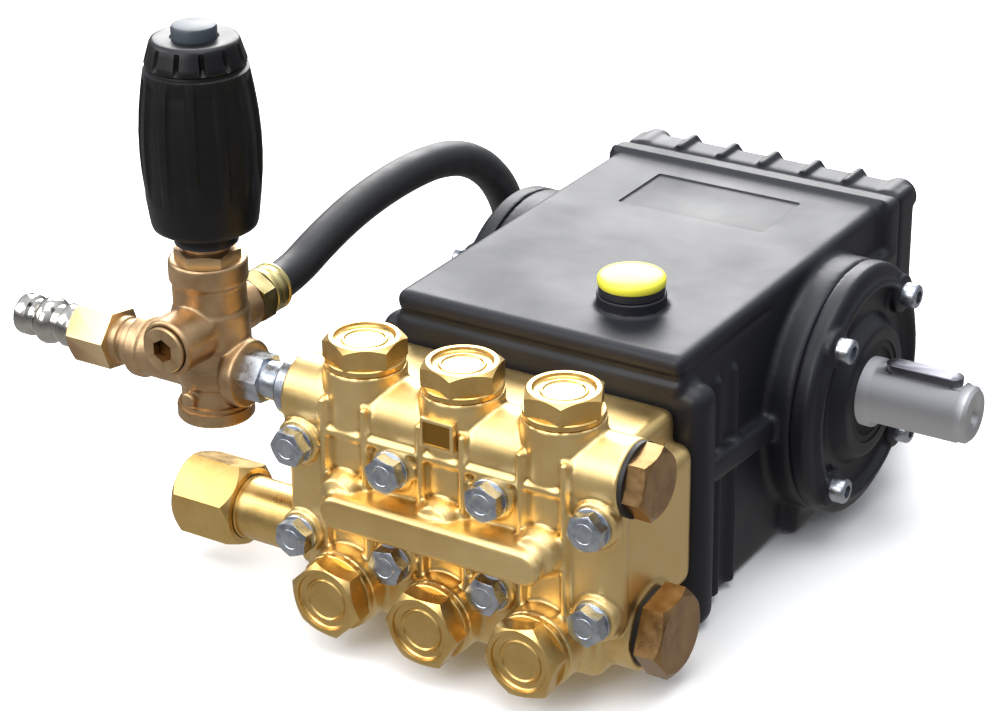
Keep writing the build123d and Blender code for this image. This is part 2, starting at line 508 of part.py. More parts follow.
for number, (x, angle) in enumerate(zip(PLUNGER_XS, CRANK_ANGLES), start=1):
    shift_y = ECCENTRICITY * math.cos(math.radians(angle))
    shift_z = ECCENTRICITY * math.sin(math.radians(angle))
    big = (CRANK_Y + shift_y, SHAFT_Z + shift_z)
    small = (PIN_Y + shift_y, SHAFT_Z + shift_z)

    with BuildPart() as con_rod:
        disc(side_plane(x - BIG_END_W / 2), [big], BIG_END_R, BIG_END_W)
        with BuildSketch(side_plane(x - SHANK_W / 2)):
            with Locations(((big[0] + small[0]) / 2, big[1])):
                Rectangle(ROD_CENTRES, SHANK_H)
        extrude(amount=SHANK_W)
        disc(side_plane(x - SMALL_END_W / 2), [small], SMALL_END_R, SMALL_END_W)
        disc(side_plane(x - BIG_END_W), [big], ECCENTRIC_R + RUN_FIT, 2 * BIG_END_W, Mode.SUBTRACT)
        disc(side_plane(x - BIG_END_W), [small], WRIST_PIN_R + 0.01, 2 * BIG_END_W, Mode.SUBTRACT)
    save(con_rod, f"con_rod_{number}")

    with BuildPart() as wrist_pin:
        disc(side_plane(x - WRIST_PIN_L / 2), [small], WRIST_PIN_R, WRIST_PIN_L)
        disc(side_plane(x - WRIST_PIN_L), [small], WRIST_PIN_R - 2, 2 * WRIST_PIN_L, Mode.SUBTRACT)
    save(wrist_pin, f"wrist_pin_{number}")

    head_front = front_plane(CROSSHEAD_FRONT_Y + shift_y)
    rod_front = front_plane(ROD_FRONT_Y + shift_y)
    tip = front_plane(ROD_FRONT_Y + shift_y - PLUNGER_L)
    with BuildPart() as crosshead:
        disc(head_front, [(x, SHAFT_Z)], CROSSHEAD_R, -CROSSHEAD_L)
        disc(head_front.offset(-CROSSHEAD_HEAD_T), [(x, SHAFT_Z)], CROSSHEAD_BORE_R, -CROSSHEAD_L, Mode.SUBTRACT)
        disc(head_front, [(x, SHAFT_Z)], ROD_R, CROSSHEAD_FRONT_Y - ROD_FRONT_Y)
        disc(rod_front, [(x, SHAFT_Z)], TIP_THREAD_R + SCREW_FIT, -14, Mode.SUBTRACT)
        disc(side_plane(x - CROSSHEAD_R), [(PIN_Y + shift_y, SHAFT_Z)], WRIST_PIN_R, 2 * CROSSHEAD_R,
             Mode.SUBTRACT)
    save(crosshead, f"crosshead_{number}")

    with BuildPart() as plunger:
        disc(rod_front, [(x, SHAFT_Z)], PLUNGER_D / 2, PLUNGER_L)
        disc(rod_front, [(x, SHAFT_Z)], PLUNGER_BORE_R, PLUNGER_L, Mode.SUBTRACT)
    save(plunger, f"plunger_{number}")

    with BuildPart() as plunger_bolt:
        disc(tip, [(x, SHAFT_Z)], TIP_HEAD_R, TIP_HEAD_H)
        disc(tip, [(x, SHAFT_Z)], TIP_THREAD_R, -PLUNGER_L - 12)
        hexagon(tip.offset(TIP_HEAD_H), [(x, SHAFT_Z)], 5, -2.5, mode=Mode.SUBTRACT)
    save(plunger_bolt, f"plunger_bolt_{number}")

with BuildPart() as rod_seals:
    disc(front_plane(CASE_FRONT_Y), [(x, SHAFT_Z) for x in PLUNGER_XS], ROD_SEAL_R, -ROD_SEAL_T)
    disc(front_plane(CASE_FRONT_Y), [(x, SHAFT_Z) for x in PLUNGER_XS], ROD_R + SEAL_FIT,
         -ROD_SEAL_T, Mode.SUBTRACT)
save(rod_seals, "rod_seals")

# ==================================================================== manifold
REAR_BORE_R = 17.5
REAR_BORE_T = 12.0
RETAINER_R = 16.0
RETAINER_T = 9.0
PACKING_R = 13.5
PACKING_T = 14.0
CHAMBER_R = 11.5
CHAMBER_END_Y = -149.0
VALVE_POCKET_R = 12.0
VALVE_SEAT_T = 5.0
OUT_SEAT_Z = 70.0
IN_SEAT_Y = -131.0
PORT_R = 6.5
OUT_GALLERY_R = 6.0
IN_GALLERY_R = 8.0
OUT_BOSS_R = 15.5
OUT_BOSS_TOP_Z = OUT_PLUG_Z - 10.5
IN_BOSS_FRONT_Y = IN_PLUG_Y + 10.5
OUT_END_BOSS_X = 71.2
OUT_END_THREAD_R = 8.3
IN_END_BOSS_X = 70.0
IN_END_THREAD_R = 10.5
OUT_END_BOSS_R = 14.5
IN_END_BOSS_R = 17.0
RIDGE_TOP_Z = 98.0
BAR_H = 14.0
BAR_L = 94.0
BAR_T = 13.0
CAST_R = 6.0              # general casting corner
PACKING_FRONT_Y = CASE_FRONT_Y - REAR_BORE_T - RETAINER_T - PACKING_T

with BuildPart() as manifold:
    # main block
    with BuildSketch(front_plane(CASE_FRONT_Y)):
        with Locations((0, (MANIFOLD_TOP_Z + MANIFOLD_BOTTOM_Z) / 2)):
            RectangleRounded(MANIFOLD_W, MANIFOLD_TOP_Z - MANIFOLD_BOTTOM_Z, CAST_R)
    extrude(amount=MANIFOLD_DEPTH - 6)
    # wider belt that takes the bolts, lower than the block
    with BuildSketch(front_plane(CASE_FRONT_Y)):
        with Locations((0, BELT_Z)):
            RectangleRounded(BELT_W, BELT_H, CAST_R + 1)
    extrude(amount=MANIFOLD_DEPTH - FACE_PLATE_T)
    # face plate that takes the bolts
    with BuildSketch(front_plane(FACE_Y + FACE_PLATE_T)):
        with Locations((0, SHAFT_Z)):
            RectangleRounded(FACE_PLATE_W, BOLT_ROW + 22, 9)
        with Locations((0, (MANIFOLD_TOP_Z + MANIFOLD_BOTTOM_Z) / 2 - 2)):
            RectangleRounded(MANIFOLD_W - 4, MANIFOLD_TOP_Z - MANIFOLD_BOTTOM_Z - 8, 8)
    extrude(amount=FACE_PLATE_T)
    # ridge over the discharge gallery
    with BuildSketch(side_plane(-MANIFOLD_W / 2)):
        with Locations((VALVE_Y + 2, RIDGE_TOP_Z - 12)):
            RectangleRounded(24, 24, 5)
    extrude(amount=MANIFOLD_W)
    # ledge across the face under the outlet valve bosses
    with BuildSketch(front_plane(FACE_Y + 2)):
        with Locations((0, MANIFOLD_TOP_Z - 8)):
            RectangleRounded(MANIFOLD_W - 4, 14, 3)
    extrude(amount=3.5)
    # central bar, rounded ends
    with BuildSketch(front_plane(FACE_Y + 2)):
        with Locations((0, SHAFT_Z)):
            SlotOverall(BAR_L, BAR_H)
    extrude(amount=BAR_T + 2)
    fillet(manifold.faces().sort_by(Axis.Y)[0].edges(), 2.5)
    # bosses: outlet valves, inlet valves, both galleries' ends
    disc(top_plane(OUT_SEAT_Z), [(x, VALVE_Y) for x in PLUNGER_XS], OUT_BOSS_R, OUT_BOSS_TOP_Z - OUT_SEAT_Z)
    disc(front_plane(FACE_Y + 10), [(x, INLET_Z) for x in PLUNGER_XS], OUT_BOSS_R, FACE_Y + 10 - IN_BOSS_FRONT_Y)
    disc(side_plane(-OUT_END_BOSS_X), [(VALVE_Y, GALLERY_Z)], OUT_END_BOSS_R, 2 * OUT_END_BOSS_X)
    disc(side_plane(-IN_END_BOSS_X), [(SUCTION_Y, INLET_Z)], IN_END_BOSS_R, 2 * IN_END_BOSS_X)
    # vertical ribs either side of each cylinder
    for x in PLUNGER_XS:
        with BuildSketch(front_plane(FACE_Y + 2)):
            with Locations((x - 8, SHAFT_Z + 4), (x + 8, SHAFT_Z + 4)):
                Rectangle(2.4, 66)
        extrude(amount=3.6)
    # raised pads under the bolts
    disc(front_plane(FACE_Y + 2), BOLT_PLACES, 9.0, PAD_T + 2)
    # plunger bores
    cylinders = [(x, SHAFT_Z) for x in PLUNGER_XS]
    disc(front_plane(CASE_FRONT_Y), cylinders, REAR_BORE_R, REAR_BORE_T, Mode.SUBTRACT)
    disc(front_plane(CASE_FRONT_Y), cylinders, RETAINER_R, REAR_BORE_T + RETAINER_T, Mode.SUBTRACT)
    disc(front_plane(CASE_FRONT_Y), cylinders, PACKING_R, REAR_BORE_T + RETAINER_T + PACKING_T, Mode.SUBTRACT)
    disc(front_plane(PACKING_FRONT_Y + 1), cylinders, CHAMBER_R, PACKING_FRONT_Y + 1 - CHAMBER_END_Y, Mode.SUBTRACT)
    # outlet valve pockets and the ports from the cylinders
    tops = [(x, VALVE_Y) for x in PLUNGER_XS]
    disc(top_plane(OUT_BOSS_TOP_Z), tops, VALVE_POCKET_R, OUT_SEAT_Z - OUT_BOSS_TOP_Z, Mode.SUBTRACT)
    disc(top_plane(SHAFT_Z), tops, PORT_R, OUT_SEAT_Z - SHAFT_Z, Mode.SUBTRACT)
    # inlet valve pockets and the ports up to the cylinders
    lows = [(x, INLET_Z) for x in PLUNGER_XS]
    disc(front_plane(IN_SEAT_Y), lows, VALVE_POCKET_R, IN_SEAT_Y - IN_BOSS_FRONT_Y, Mode.SUBTRACT)
    disc(front_plane(SUCTION_Y), lows, PORT_R, SUCTION_Y - IN_SEAT_Y, Mode.SUBTRACT)
    disc(top_plane(INLET_Z), [(x, VALVE_Y - 2) for x in PLUNGER_XS], PORT_R, SHAFT_Z - INLET_Z, Mode.SUBTRACT)
    # galleries, open at both ends
    disc(side_plane(-OUT_END_BOSS_X), [(VALVE_Y, GALLERY_Z)], OUT_GALLERY_R, 2 * OUT_END_BOSS_X, Mode.SUBTRACT)
    disc(side_plane(-IN_END_BOSS_X), [(SUCTION_Y, INLET_Z)], IN_GALLERY_R, 2 * IN_END_BOSS_X, Mode.SUBTRACT)
    for side in (-1, 1):
        disc(side_plane(side * OUT_END_BOSS_X), [(VALVE_Y, GALLERY_Z)], OUT_END_THREAD_R, -side * 13, Mode.SUBTRACT)
        disc(side_plane(side * IN_END_BOSS_X), [(SUCTION_Y, INLET_Z)], IN_END_THREAD_R, -side * 14, Mode.SUBTRACT)
    # bolt holes
    disc(front_plane(CASE_FRONT_Y), BOLT_PLACES, BOLT_D / 2 + BOLT_HOLE_FIT, MANIFOLD_DEPTH + 4, Mode.SUBTRACT)
save(manifold, "manifold")

HEAD_AF = 13.0
HEAD_H = 5.5
WASHER_T = 1.5
with BuildPart() as manifold_bolts:
    disc(front_plane(SEAT_Y), BOLT_PLACES, 7.5, WASHER_T)
    hexagon(front_plane(SEAT_Y - WASHER_T), BOLT_PLACES, HEAD_AF, HEAD_H, turn=30)
    disc(front_plane(SEAT_Y - WASHER_T - HEAD_H), BOLT_PLACES, 4.6, -0.5, Mode.SUBTRACT)
    disc(front_plane(SEAT_Y), BOLT_PLACES, BOLT_D / 2, SEAT_Y - CASE_FRONT_Y - 14)
save(manifold_bolts, "manifold_bolts")

PLUG_HEX_H = 8.0
PLUG_RING_T = 2.5
PLUG_THREAD_L = 11.0
PLUG_DISH_R = 11.6
PLUG_DISH_T = 1.5
SPRING_WELL_R = 7.0
SPRING_WELL_T = 7.0


def valve_plug(seat: Plane, places: list, turn: float) -> None:
    """Valve plug with its collar against a boss, at places on the boss's plane."""
    disc(seat, places, OUT_BOSS_R - 0.5, PLUG_RING_T)
    hexagon(seat.offset(PLUG_RING_T), places, PLUG_AF, PLUG_HEX_H, turn)
    disc(seat, places, VALVE_POCKET_R - SCREW_FIT, -PLUG_THREAD_L)
    disc(seat.offset(PLUG_RING_T + PLUG_HEX_H), places, PLUG_DISH_R, -PLUG_DISH_T, Mode.SUBTRACT)
    disc(seat.offset(-PLUG_THREAD_L), places, SPRING_WELL_R, SPRING_WELL_T, Mode.SUBTRACT)


with BuildPart() as valve_plugs:
    valve_plug(top_plane(OUT_BOSS_TOP_Z), tops, 0)
    valve_plug(front_plane(IN_BOSS_FRONT_Y), lows, 15)
save(valve_plugs, "valve_plugs")

VALVE_LIFT = 2.0
POPPET_R = 8.5
POPPET_T = 3.0
POPPET_GAP = 0.02         # poppet above its seat at rest
SPRING_R = 5.5
SPRING_WIRE_R = 0.6
SPRING_COILS = 4

with BuildPart() as valve_seats:
    for plane, places in ((top_plane(OUT_SEAT_Z), tops), (front_plane(IN_SEAT_Y), lows)):
        disc(plane, places, VALVE_POCKET_R - SCREW_FIT, VALVE_SEAT_T)
        disc(plane, places, PORT_R - 0.5, VALVE_SEAT_T, Mode.SUBTRACT)
save(valve_seats, "valve_seats")

for number, x in enumerate(PLUNGER_XS, start=1):
    for name, plane, place in (
        ("outlet_valve", top_plane(OUT_SEAT_Z + VALVE_SEAT_T + POPPET_GAP), (x, VALVE_Y)),
        ("inlet_valve", front_plane(IN_SEAT_Y - VALVE_SEAT_T - POPPET_GAP), (x, INLET_Z)),
    ):
        with BuildPart() as poppet:
            disc(plane, [place], POPPET_R, POPPET_T)
            disc(plane.offset(POPPET_T), [place], SPRING_R - 1.5, 4)
            chamfer(poppet.edges().filter_by(GeomType.CIRCLE).sort_by(SortBy.RADIUS)[-2:], 0.4)
        save(poppet, f"{name}_{number}")

SPRING_FREE = {
    "out": (OUT_BOSS_TOP_Z - PLUG_THREAD_L + SPRING_WELL_T) - (OUT_SEAT_Z + VALVE_SEAT_T + POPPET_T) - VALVE_LIFT,
    "in": (IN_SEAT_Y - VALVE_SEAT_T - POPPET_T) - (IN_BOSS_FRONT_Y + PLUG_THREAD_L - SPRING_WELL_T) - VALVE_LIFT,
}


def coil_spring(plane: Plane, place: tuple, radius: float, wire_r: float, height: float, coils: float) -> None:
    """Round-wire compression spring that starts on a plane, at a place on it."""
    pitch = (height - 2 * wire_r) / coils
    centre = plane.from_local_coords((place[0], place[1], wire_r + 0.05))
    wire = Helix(pitch, height - 2 * wire_r - 0.1, radius, center=tuple(centre), direction=tuple(plane.z_dir))
    with BuildSketch(Plane(origin=wire @ 0, z_dir=wire % 0)) as section:
        Circle(wire_r)
    sweep(section.sketch, path=wire, is_frenet=True)


with BuildPart() as valve_springs:
    for x in PLUNGER_XS:
        out_base = OUT_SEAT_Z + VALVE_SEAT_T + POPPET_T + VALVE_LIFT + 0.1
        coil_spring(top_plane(out_base), (x, VALVE_Y), SPRING_R, SPRING_WIRE_R, SPRING_FREE["out"] - 0.2, SPRING_COILS)
        in_base = IN_SEAT_Y - VALVE_SEAT_T - POPPET_T - VALVE_LIFT - 0.1
        coil_spring(front_plane(in_base), (x, INLET_Z), SPRING_R, SPRING_WIRE_R, SPRING_FREE["in"] - 0.2, SPRING_COILS)
save(valve_springs, "valve_springs")

with BuildPart() as packing_retainers:
    disc(front_plane(CASE_FRONT_Y - REAR_BORE_T), cylinders, RETAINER_R - SCREW_FIT, RETAINER_T)
    disc(front_plane(CASE_FRONT_Y - REAR_BORE_T), cylinders, PLUNGER_D / 2 + 0.3, RETAINER_T, Mode.SUBTRACT)
save(packing_retainers, "packing_retainers")

with BuildPart() as plunger_packings:
    disc(front_plane(CASE_FRONT_Y - REAR_BORE_T - RETAINER_T), cylinders, PACKING_R - 0.02, PACKING_T)
    disc(front_plane(CASE_FRONT_Y - REAR_BORE_T - RETAINER_T), cylinders, PLUNGER_D / 2 + SEAL_FIT,
         PACKING_T, Mode.SUBTRACT)
save(plunger_packings, "plunger_packings")

SEAL_RING_T = 1.5
OUT_END_AF = 24.0
IN_END_AF = 30.0
END_HEX_H = 8.0
END_THREAD_L = 12.0

with BuildPart() as end_plug_seals:
    disc(side_plane(OUT_END_BOSS_X), [(VALVE_Y, GALLERY_Z)], OUT_END_BOSS_R - 0.5, SEAL_RING_T)
    disc(side_plane(OUT_END_BOSS_X), [(VALVE_Y, GALLERY_Z)], OUT_END_THREAD_R, SEAL_RING_T, Mode.SUBTRACT)
    disc(side_plane(IN_END_BOSS_X), [(SUCTION_Y, INLET_Z)], IN_END_BOSS_R - 2, SEAL_RING_T + 0.5)
    disc(side_plane(IN_END_BOSS_X), [(SUCTION_Y, INLET_Z)], IN_END_THREAD_R, SEAL_RING_T + 0.5, Mode.SUBTRACT)
save(end_plug_seals, "end_plug_seals")

with BuildPart() as discharge_end_plug:
    hexagon(side_plane(OUT_END_BOSS_X + SEAL_RING_T), [(VALVE_Y, GALLERY_Z)], OUT_END_AF, END_HEX_H, turn=12)
    disc(side_plane(OUT_END_BOSS_X + SEAL_RING_T), [(VALVE_Y, GALLERY_Z)], OUT_END_THREAD_R - SCREW_FIT, -END_THREAD_L)
save(discharge_end_plug, "discharge_end_plug")

with BuildPart() as suction_end_plug:
    hexagon(side_plane(IN_END_BOSS_X + SEAL_RING_T + 0.5), [(SUCTION_Y, INLET_Z)], IN_END_AF, END_HEX_H + 2, turn=8)
    disc(side_plane(IN_END_BOSS_X + SEAL_RING_T + 0.5), [(SUCTION_Y, INLET_Z)], IN_END_THREAD_R - SCREW_FIT, -END_THREAD_L)
save(suction_end_plug, "suction_end_plug")

# ==================================================== inlet pipe and hose nut
INLET_PIPE_R = 12.5
INLET_BORE_R = 8.0
INLET_PIPE_END_X = -125.0
COLLAR_T = 3.0
INLET_NUT_AF = 31.0
INLET_NUT_FRONT_X = -137.0
INLET_NUT_L = 28.0
INLET_THREAD_R = 13.2     # bore of the nut's thread
BARB_X = -90.0
BARB_START_Y = SUCTION_Y + INLET_PIPE_R - 3
BARB_END_Y = -96.0

with BuildPart() as inlet_pipe:
    disc(side_plane(-IN_END_BOSS_X), [(SUCTION_Y, INLET_Z)], INLET_PIPE_R, INLET_PIPE_END_X + IN_END_BOSS_X)
    disc(side_plane(-IN_END_BOSS_X), [(SUCTION_Y, INLET_Z)], IN_END_THREAD_R - SCREW_FIT, END_THREAD_L)
    # collar that holds the nut on
    disc(side_plane(INLET_PIPE_END_X), [(SUCTION_Y, INLET_Z)], INLET_PIPE_R + 0.5, COLLAR_T)
    # return port for the bypass hose
    disc(front_plane(SUCTION_Y), [(BARB_X, INLET_Z)], 8.5, -INLET_PIPE_R - 2)
    disc(front_plane(SUCTION_Y), [(BARB_X, INLET_Z)], HOSE_BORE_D / 2, SUCTION_Y - BARB_END_Y)
    disc(side_plane(-IN_END_BOSS_X + END_THREAD_L), [(SUCTION_Y, INLET_Z)], INLET_BORE_R,
         INLET_PIPE_END_X + IN_END_BOSS_X - END_THREAD_L, Mode.SUBTRACT)
    disc(front_plane(SUCTION_Y), [(BARB_X, INLET_Z)], 3.0, SUCTION_Y - BARB_END_Y, Mode.SUBTRACT)
save(inlet_pipe, "inlet_pipe")

with BuildPart() as inlet_nut:
    hexagon(side_plane(INLET_NUT_FRONT_X), [(SUCTION_Y, INLET_Z)], INLET_NUT_AF, INLET_NUT_L, turn=20)
    disc(side_plane(INLET_NUT_FRONT_X), [(SUCTION_Y, INLET_Z)], INLET_THREAD_R,
         INLET_PIPE_END_X - INLET_NUT_FRONT_X, Mode.SUBTRACT)
    # undercut behind the thread, where the pipe's collar turns
    disc(side_plane(INLET_PIPE_END_X - 0.1), [(SUCTION_Y, INLET_Z)], INLET_THREAD_R + 0.4,
         COLLAR_T + 0.2, Mode.SUBTRACT)
    disc(side_plane(INLET_NUT_FRONT_X), [(SUCTION_Y, INLET_Z)], INLET_PIPE_R + 0.1, INLET_NUT_L, Mode.SUBTRACT)
save(inlet_nut, "inlet_nut")

# =================================================================== unloader
ARM_R = 11.0
BARREL_R = 14.0
BARREL_BOTTOM_Z = 74.5
BARREL_TOP_Z = 134.0
COLLAR_R = 15.0
CAP_BOTTOM_Z = 69.0
OUT_ARM_END_X = -147.0
IN_ARM_END_X = -99.0
FRONT_ARM_END_Y = -168.0
REAR_ARM_END_Y = -119.0
STEM_BORE_R = 8.0
NUT_TOP_Z = 138.0
ARM_BORE_R = 5.0
NIPPLE_THREAD_R = 6.5
NIPPLE_THREAD_L = 9.0

with BuildPart() as outlet_nipple:
    # threaded both ends, hexagon between the manifold and the unloader
    nipple_hex_start = -OUT_END_BOSS_X
    hexagon(side_plane(IN_ARM_END_X + 1), [(VALVE_Y, GALLERY_Z)], 17, 10, turn=10)
    disc(side_plane(IN_ARM_END_X + 1), [(VALVE_Y, GALLERY_Z)], 7.5, nipple_hex_start - IN_ARM_END_X - 1)
    disc(side_plane(IN_ARM_END_X - NIPPLE_THREAD_L + 1), [(VALVE_Y, GALLERY_Z)], NIPPLE_THREAD_R, NIPPLE_THREAD_L)
    disc(side_plane(nipple_hex_start - 6), [(VALVE_Y, GALLERY_Z)], 11, 6)
    disc(side_plane(nipple_hex_start), [(VALVE_Y, GALLERY_Z)], OUT_END_THREAD_R - SCREW_FIT, END_THREAD_L)
    disc(side_plane(IN_ARM_END_X - 8), [(VALVE_Y, GALLERY_Z)], 4, 60, Mode.SUBTRACT)
save(outlet_nipple, "outlet_nipple")

with BuildPart() as unloader_body:
    disc(top_plane(BARREL_BOTTOM_Z), [(UNLOADER_X, UNLOADER_Y)], BARREL_R, BARREL_TOP_Z - BARREL_BOTTOM_Z)
    disc(top_plane(BARREL_TOP_Z - 9), [(UNLOADER_X, UNLOADER_Y)], COLLAR_R, 9)
    disc(side_plane(OUT_ARM_END_X), [(UNLOADER_Y, GALLERY_Z)], ARM_R, IN_ARM_END_X - OUT_ARM_END_X)
    disc(side_plane(IN_ARM_END_X - 5), [(UNLOADER_Y, GALLERY_Z)], ARM_R + 2.2, 5)
    disc(side_plane(OUT_ARM_END_X), [(UNLOADER_Y, GALLERY_Z)], ARM_R + 1.2, 6)
    disc(front_plane(UNLOADER_Y), [(UNLOADER_X, UNLOADER_PORT_Z)], ARM_R, UNLOADER_Y - FRONT_ARM_END_Y)
    disc(front_plane(UNLOADER_Y), [(UNLOADER_X, UNLOADER_PORT_Z)], ARM_R - 1, UNLOADER_Y - REAR_ARM_END_Y)
    # stem bore from the top, and the flow bores
    disc(top_plane(BARREL_TOP_Z), [(UNLOADER_X, UNLOADER_Y)], STEM_BORE_R, -20, Mode.SUBTRACT)
    disc(top_plane(BARREL_TOP_Z), [(UNLOADER_X, UNLOADER_Y)], ARM_BORE_R, BARREL_BOTTOM_Z - BARREL_TOP_Z, Mode.SUBTRACT)
    disc(side_plane(OUT_ARM_END_X), [(UNLOADER_Y, GALLERY_Z)], ARM_BORE_R, IN_ARM_END_X - OUT_ARM_END_X, Mode.SUBTRACT)
    disc(side_plane(UNLOADER_X + BARREL_R), [(UNLOADER_Y, GALLERY_Z)], NIPPLE_THREAD_R + SCREW_FIT,
         IN_ARM_END_X - NIPPLE_THREAD_L - UNLOADER_X - BARREL_R, Mode.SUBTRACT)
    disc(side_plane(OUT_ARM_END_X), [(UNLOADER_Y, GALLERY_Z)], 7.5 + SCREW_FIT, 10, Mode.SUBTRACT)
    disc(front_plane(FRONT_ARM_END_Y), [(UNLOADER_X, UNLOADER_PORT_Z)], 7.5, -12, Mode.SUBTRACT)
    disc(front_plane(REAR_ARM_END_Y), [(UNLOADER_X, UNLOADER_PORT_Z)], 6.5 + SCREW_FIT, 10, Mode.SUBTRACT)
    disc(front_plane(REAR_ARM_END_Y), [(UNLOADER_X, UNLOADER_PORT_Z)], 4, REAR_ARM_END_Y - UNLOADER_Y, Mode.SUBTRACT)
save(unloader_body, "unloader_body")

with BuildPart() as unloader_plugs:
    # bottom plug
    disc(top_plane(BARREL_BOTTOM_Z), [(UNLOADER_X, UNLOADER_Y)], BARREL_R + 0.8, CAP_BOTTOM_Z - BARREL_BOTTOM_Z)
    disc(top_plane(BARREL_BOTTOM_Z), [(UNLOADER_X, UNLOADER_Y)], ARM_BORE_R - SCREW_FIT, 2)
    hexagon(top_plane(CAP_BOTTOM_Z), [(UNLOADER_X, UNLOADER_Y)], 10, 5, mode=Mode.SUBTRACT)
    # front plug, with a hexagon socket
    disc(front_plane(FRONT_ARM_END_Y), [(UNLOADER_X, UNLOADER_PORT_Z)], 7.5 - SCREW_FIT, -11)
    disc(front_plane(FRONT_ARM_END_Y), [(UNLOADER_X, UNLOADER_PORT_Z)], 9.0, 2)
    hexagon(front_plane(FRONT_ARM_END_Y - 2), [(UNLOADER_X, UNLOADER_PORT_Z)], 8, -7, mode=Mode.SUBTRACT)
save(unloader_plugs, "unloader_plugs")

with BuildPart() as unloader_nut:
    hexagon(top_plane(BARREL_TOP_Z), [(UNLOADER_X, UNLOADER_Y)], 22, 4)
    disc(top_plane(BARREL_TOP_Z), [(UNLOADER_X, UNLOADER_Y)], STEM_BORE_R - SCREW_FIT, -8)
    disc(top_plane(NUT_TOP_Z), [(UNLOADER_X, UNLOADER_Y)], 9, 12)
    disc(top_plane(BARREL_TOP_Z - 8), [(UNLOADER_X, UNLOADER_Y)], 4.5, 30, Mode.SUBTRACT)
save(unloader_nut, "unloader_nut")

KNOB_TRAVEL = 1.5         # for one turn
KNOB_NECK_R = 12.0
KNOB_WALL = 3.5
with BuildPart() as unloader_knob:
    # turned outline: neck, foot, belly, groove and crown
    with BuildSketch(Plane(origin=(UNLOADER_X, UNLOADER_Y, 0), x_dir=(1, 0, 0), z_dir=(0, -1, 0))):
        with BuildLine():
            Polyline((9.6, KNOB_BOTTOM_Z - 3), (KNOB_NECK_R, KNOB_BOTTOM_Z - 3), (KNOB_NECK_R, KNOB_BOTTOM_Z),
                     (18.6, KNOB_BOTTOM_Z), (19.6, KNOB_BOTTOM_Z + 2))
            Spline((19.6, KNOB_BOTTOM_Z + 2), (KNOB_R, KNOB_BOTTOM_Z + 27), (19.4, KNOB_BOTTOM_Z + 64.6))
            Polyline((19.4, KNOB_BOTTOM_Z + 64.6), (18.2, KNOB_BOTTOM_Z + 65.4), (18.2, KNOB_BOTTOM_Z + 66.6),
                     (19.0, KNOB_BOTTOM_Z + 67.4), (16.6, KNOB_TOP_Z - 2.5), (14.6, KNOB_TOP_Z),
                     (5, KNOB_TOP_Z), (5, KNOB_TOP_Z - 10), (9.6, KNOB_TOP_Z - 14), (9.6, KNOB_BOTTOM_Z - 3))
        make_face()
    revolve(axis=Axis((UNLOADER_X, UNLOADER_Y, 0), (0, 0, 1)))
save(unloader_knob, "unloader_knob")

with BuildPart() as knob_button:
    disc(top_plane(KNOB_TOP_Z), [(UNLOADER_X, UNLOADER_Y)], 8.4, 2.6)
    disc(top_plane(KNOB_TOP_Z), [(UNLOADER_X, UNLOADER_Y)], 5 - 0.05, -8)
    chamfer(knob_button.faces().sort_by(Axis.Z)[-1].edges(), 1)
save(knob_button, "knob_button")

with BuildPart() as unloader_stem:
    disc(top_plane(BARREL_TOP_Z - 6), [(UNLOADER_X, UNLOADER_Y)], 4.4, 24)
    disc(top_plane(BARREL_TOP_Z + 18), [(UNLOADER_X, UNLOADER_Y)], 8, 3)
save(unloader_stem, "unloader_stem")

ADAPTER_AF = 22.0
ADAPTER_END_X = -179.0
NIPPLE_END_X = -205.0
with BuildPart() as outlet_adapter:
    disc(side_plane(OUT_ARM_END_X), [(UNLOADER_Y, GALLERY_Z)], 9.5, -9.5)
    disc(side_plane(OUT_ARM_END_X), [(UNLOADER_Y, GALLERY_Z)], 7.5, 9)
    hexagon(side_plane(OUT_ARM_END_X - 9.5), [(UNLOADER_Y, GALLERY_Z)], ADAPTER_AF,
            ADAPTER_END_X - OUT_ARM_END_X + 9.5, turn=10)
    disc(side_plane(OUT_ARM_END_X + 9), [(UNLOADER_Y, GALLERY_Z)], 4, -60, Mode.SUBTRACT)
    disc(side_plane(ADAPTER_END_X), [(UNLOADER_Y, GALLERY_Z)], 6.5 + SCREW_FIT, 11, Mode.SUBTRACT)
save(outlet_adapter, "outlet_adapter")

with BuildPart() as quick_nipple:
    disc(side_plane(ADAPTER_END_X), [(UNLOADER_Y, GALLERY_Z)], 6.5, 10)
    with BuildSketch(Plane(origin=(0, UNLOADER_Y, GALLERY_Z), x_dir=(-1, 0, 0), z_dir=(0, -1, 0))):
        with BuildLine():
            Polyline((-ADAPTER_END_X, 0), (-ADAPTER_END_X, 8.5), (-ADAPTER_END_X + 5, 8.5),
                     (-ADAPTER_END_X + 6, 7.4), (-ADAPTER_END_X + 9, 7.4), (-ADAPTER_END_X + 11, 9.4),
                     (-ADAPTER_END_X + 14, 9.4), (-ADAPTER_END_X + 16, 7.0), (-ADAPTER_END_X + 19, 7.0),
                     (-ADAPTER_END_X + 20, 8.2), (-NIPPLE_END_X - 1, 8.2), (-NIPPLE_END_X, 7.2),
                     (-NIPPLE_END_X, 0), close=True)
        make_face()
    revolve(axis=Axis((0, UNLOADER_Y, GALLERY_Z), (1, 0, 0)))
    disc(side_plane(NIPPLE_END_X), [(UNLOADER_Y, GALLERY_Z)], 4, 40, Mode.SUBTRACT)
save(quick_nipple, "quick_nipple")

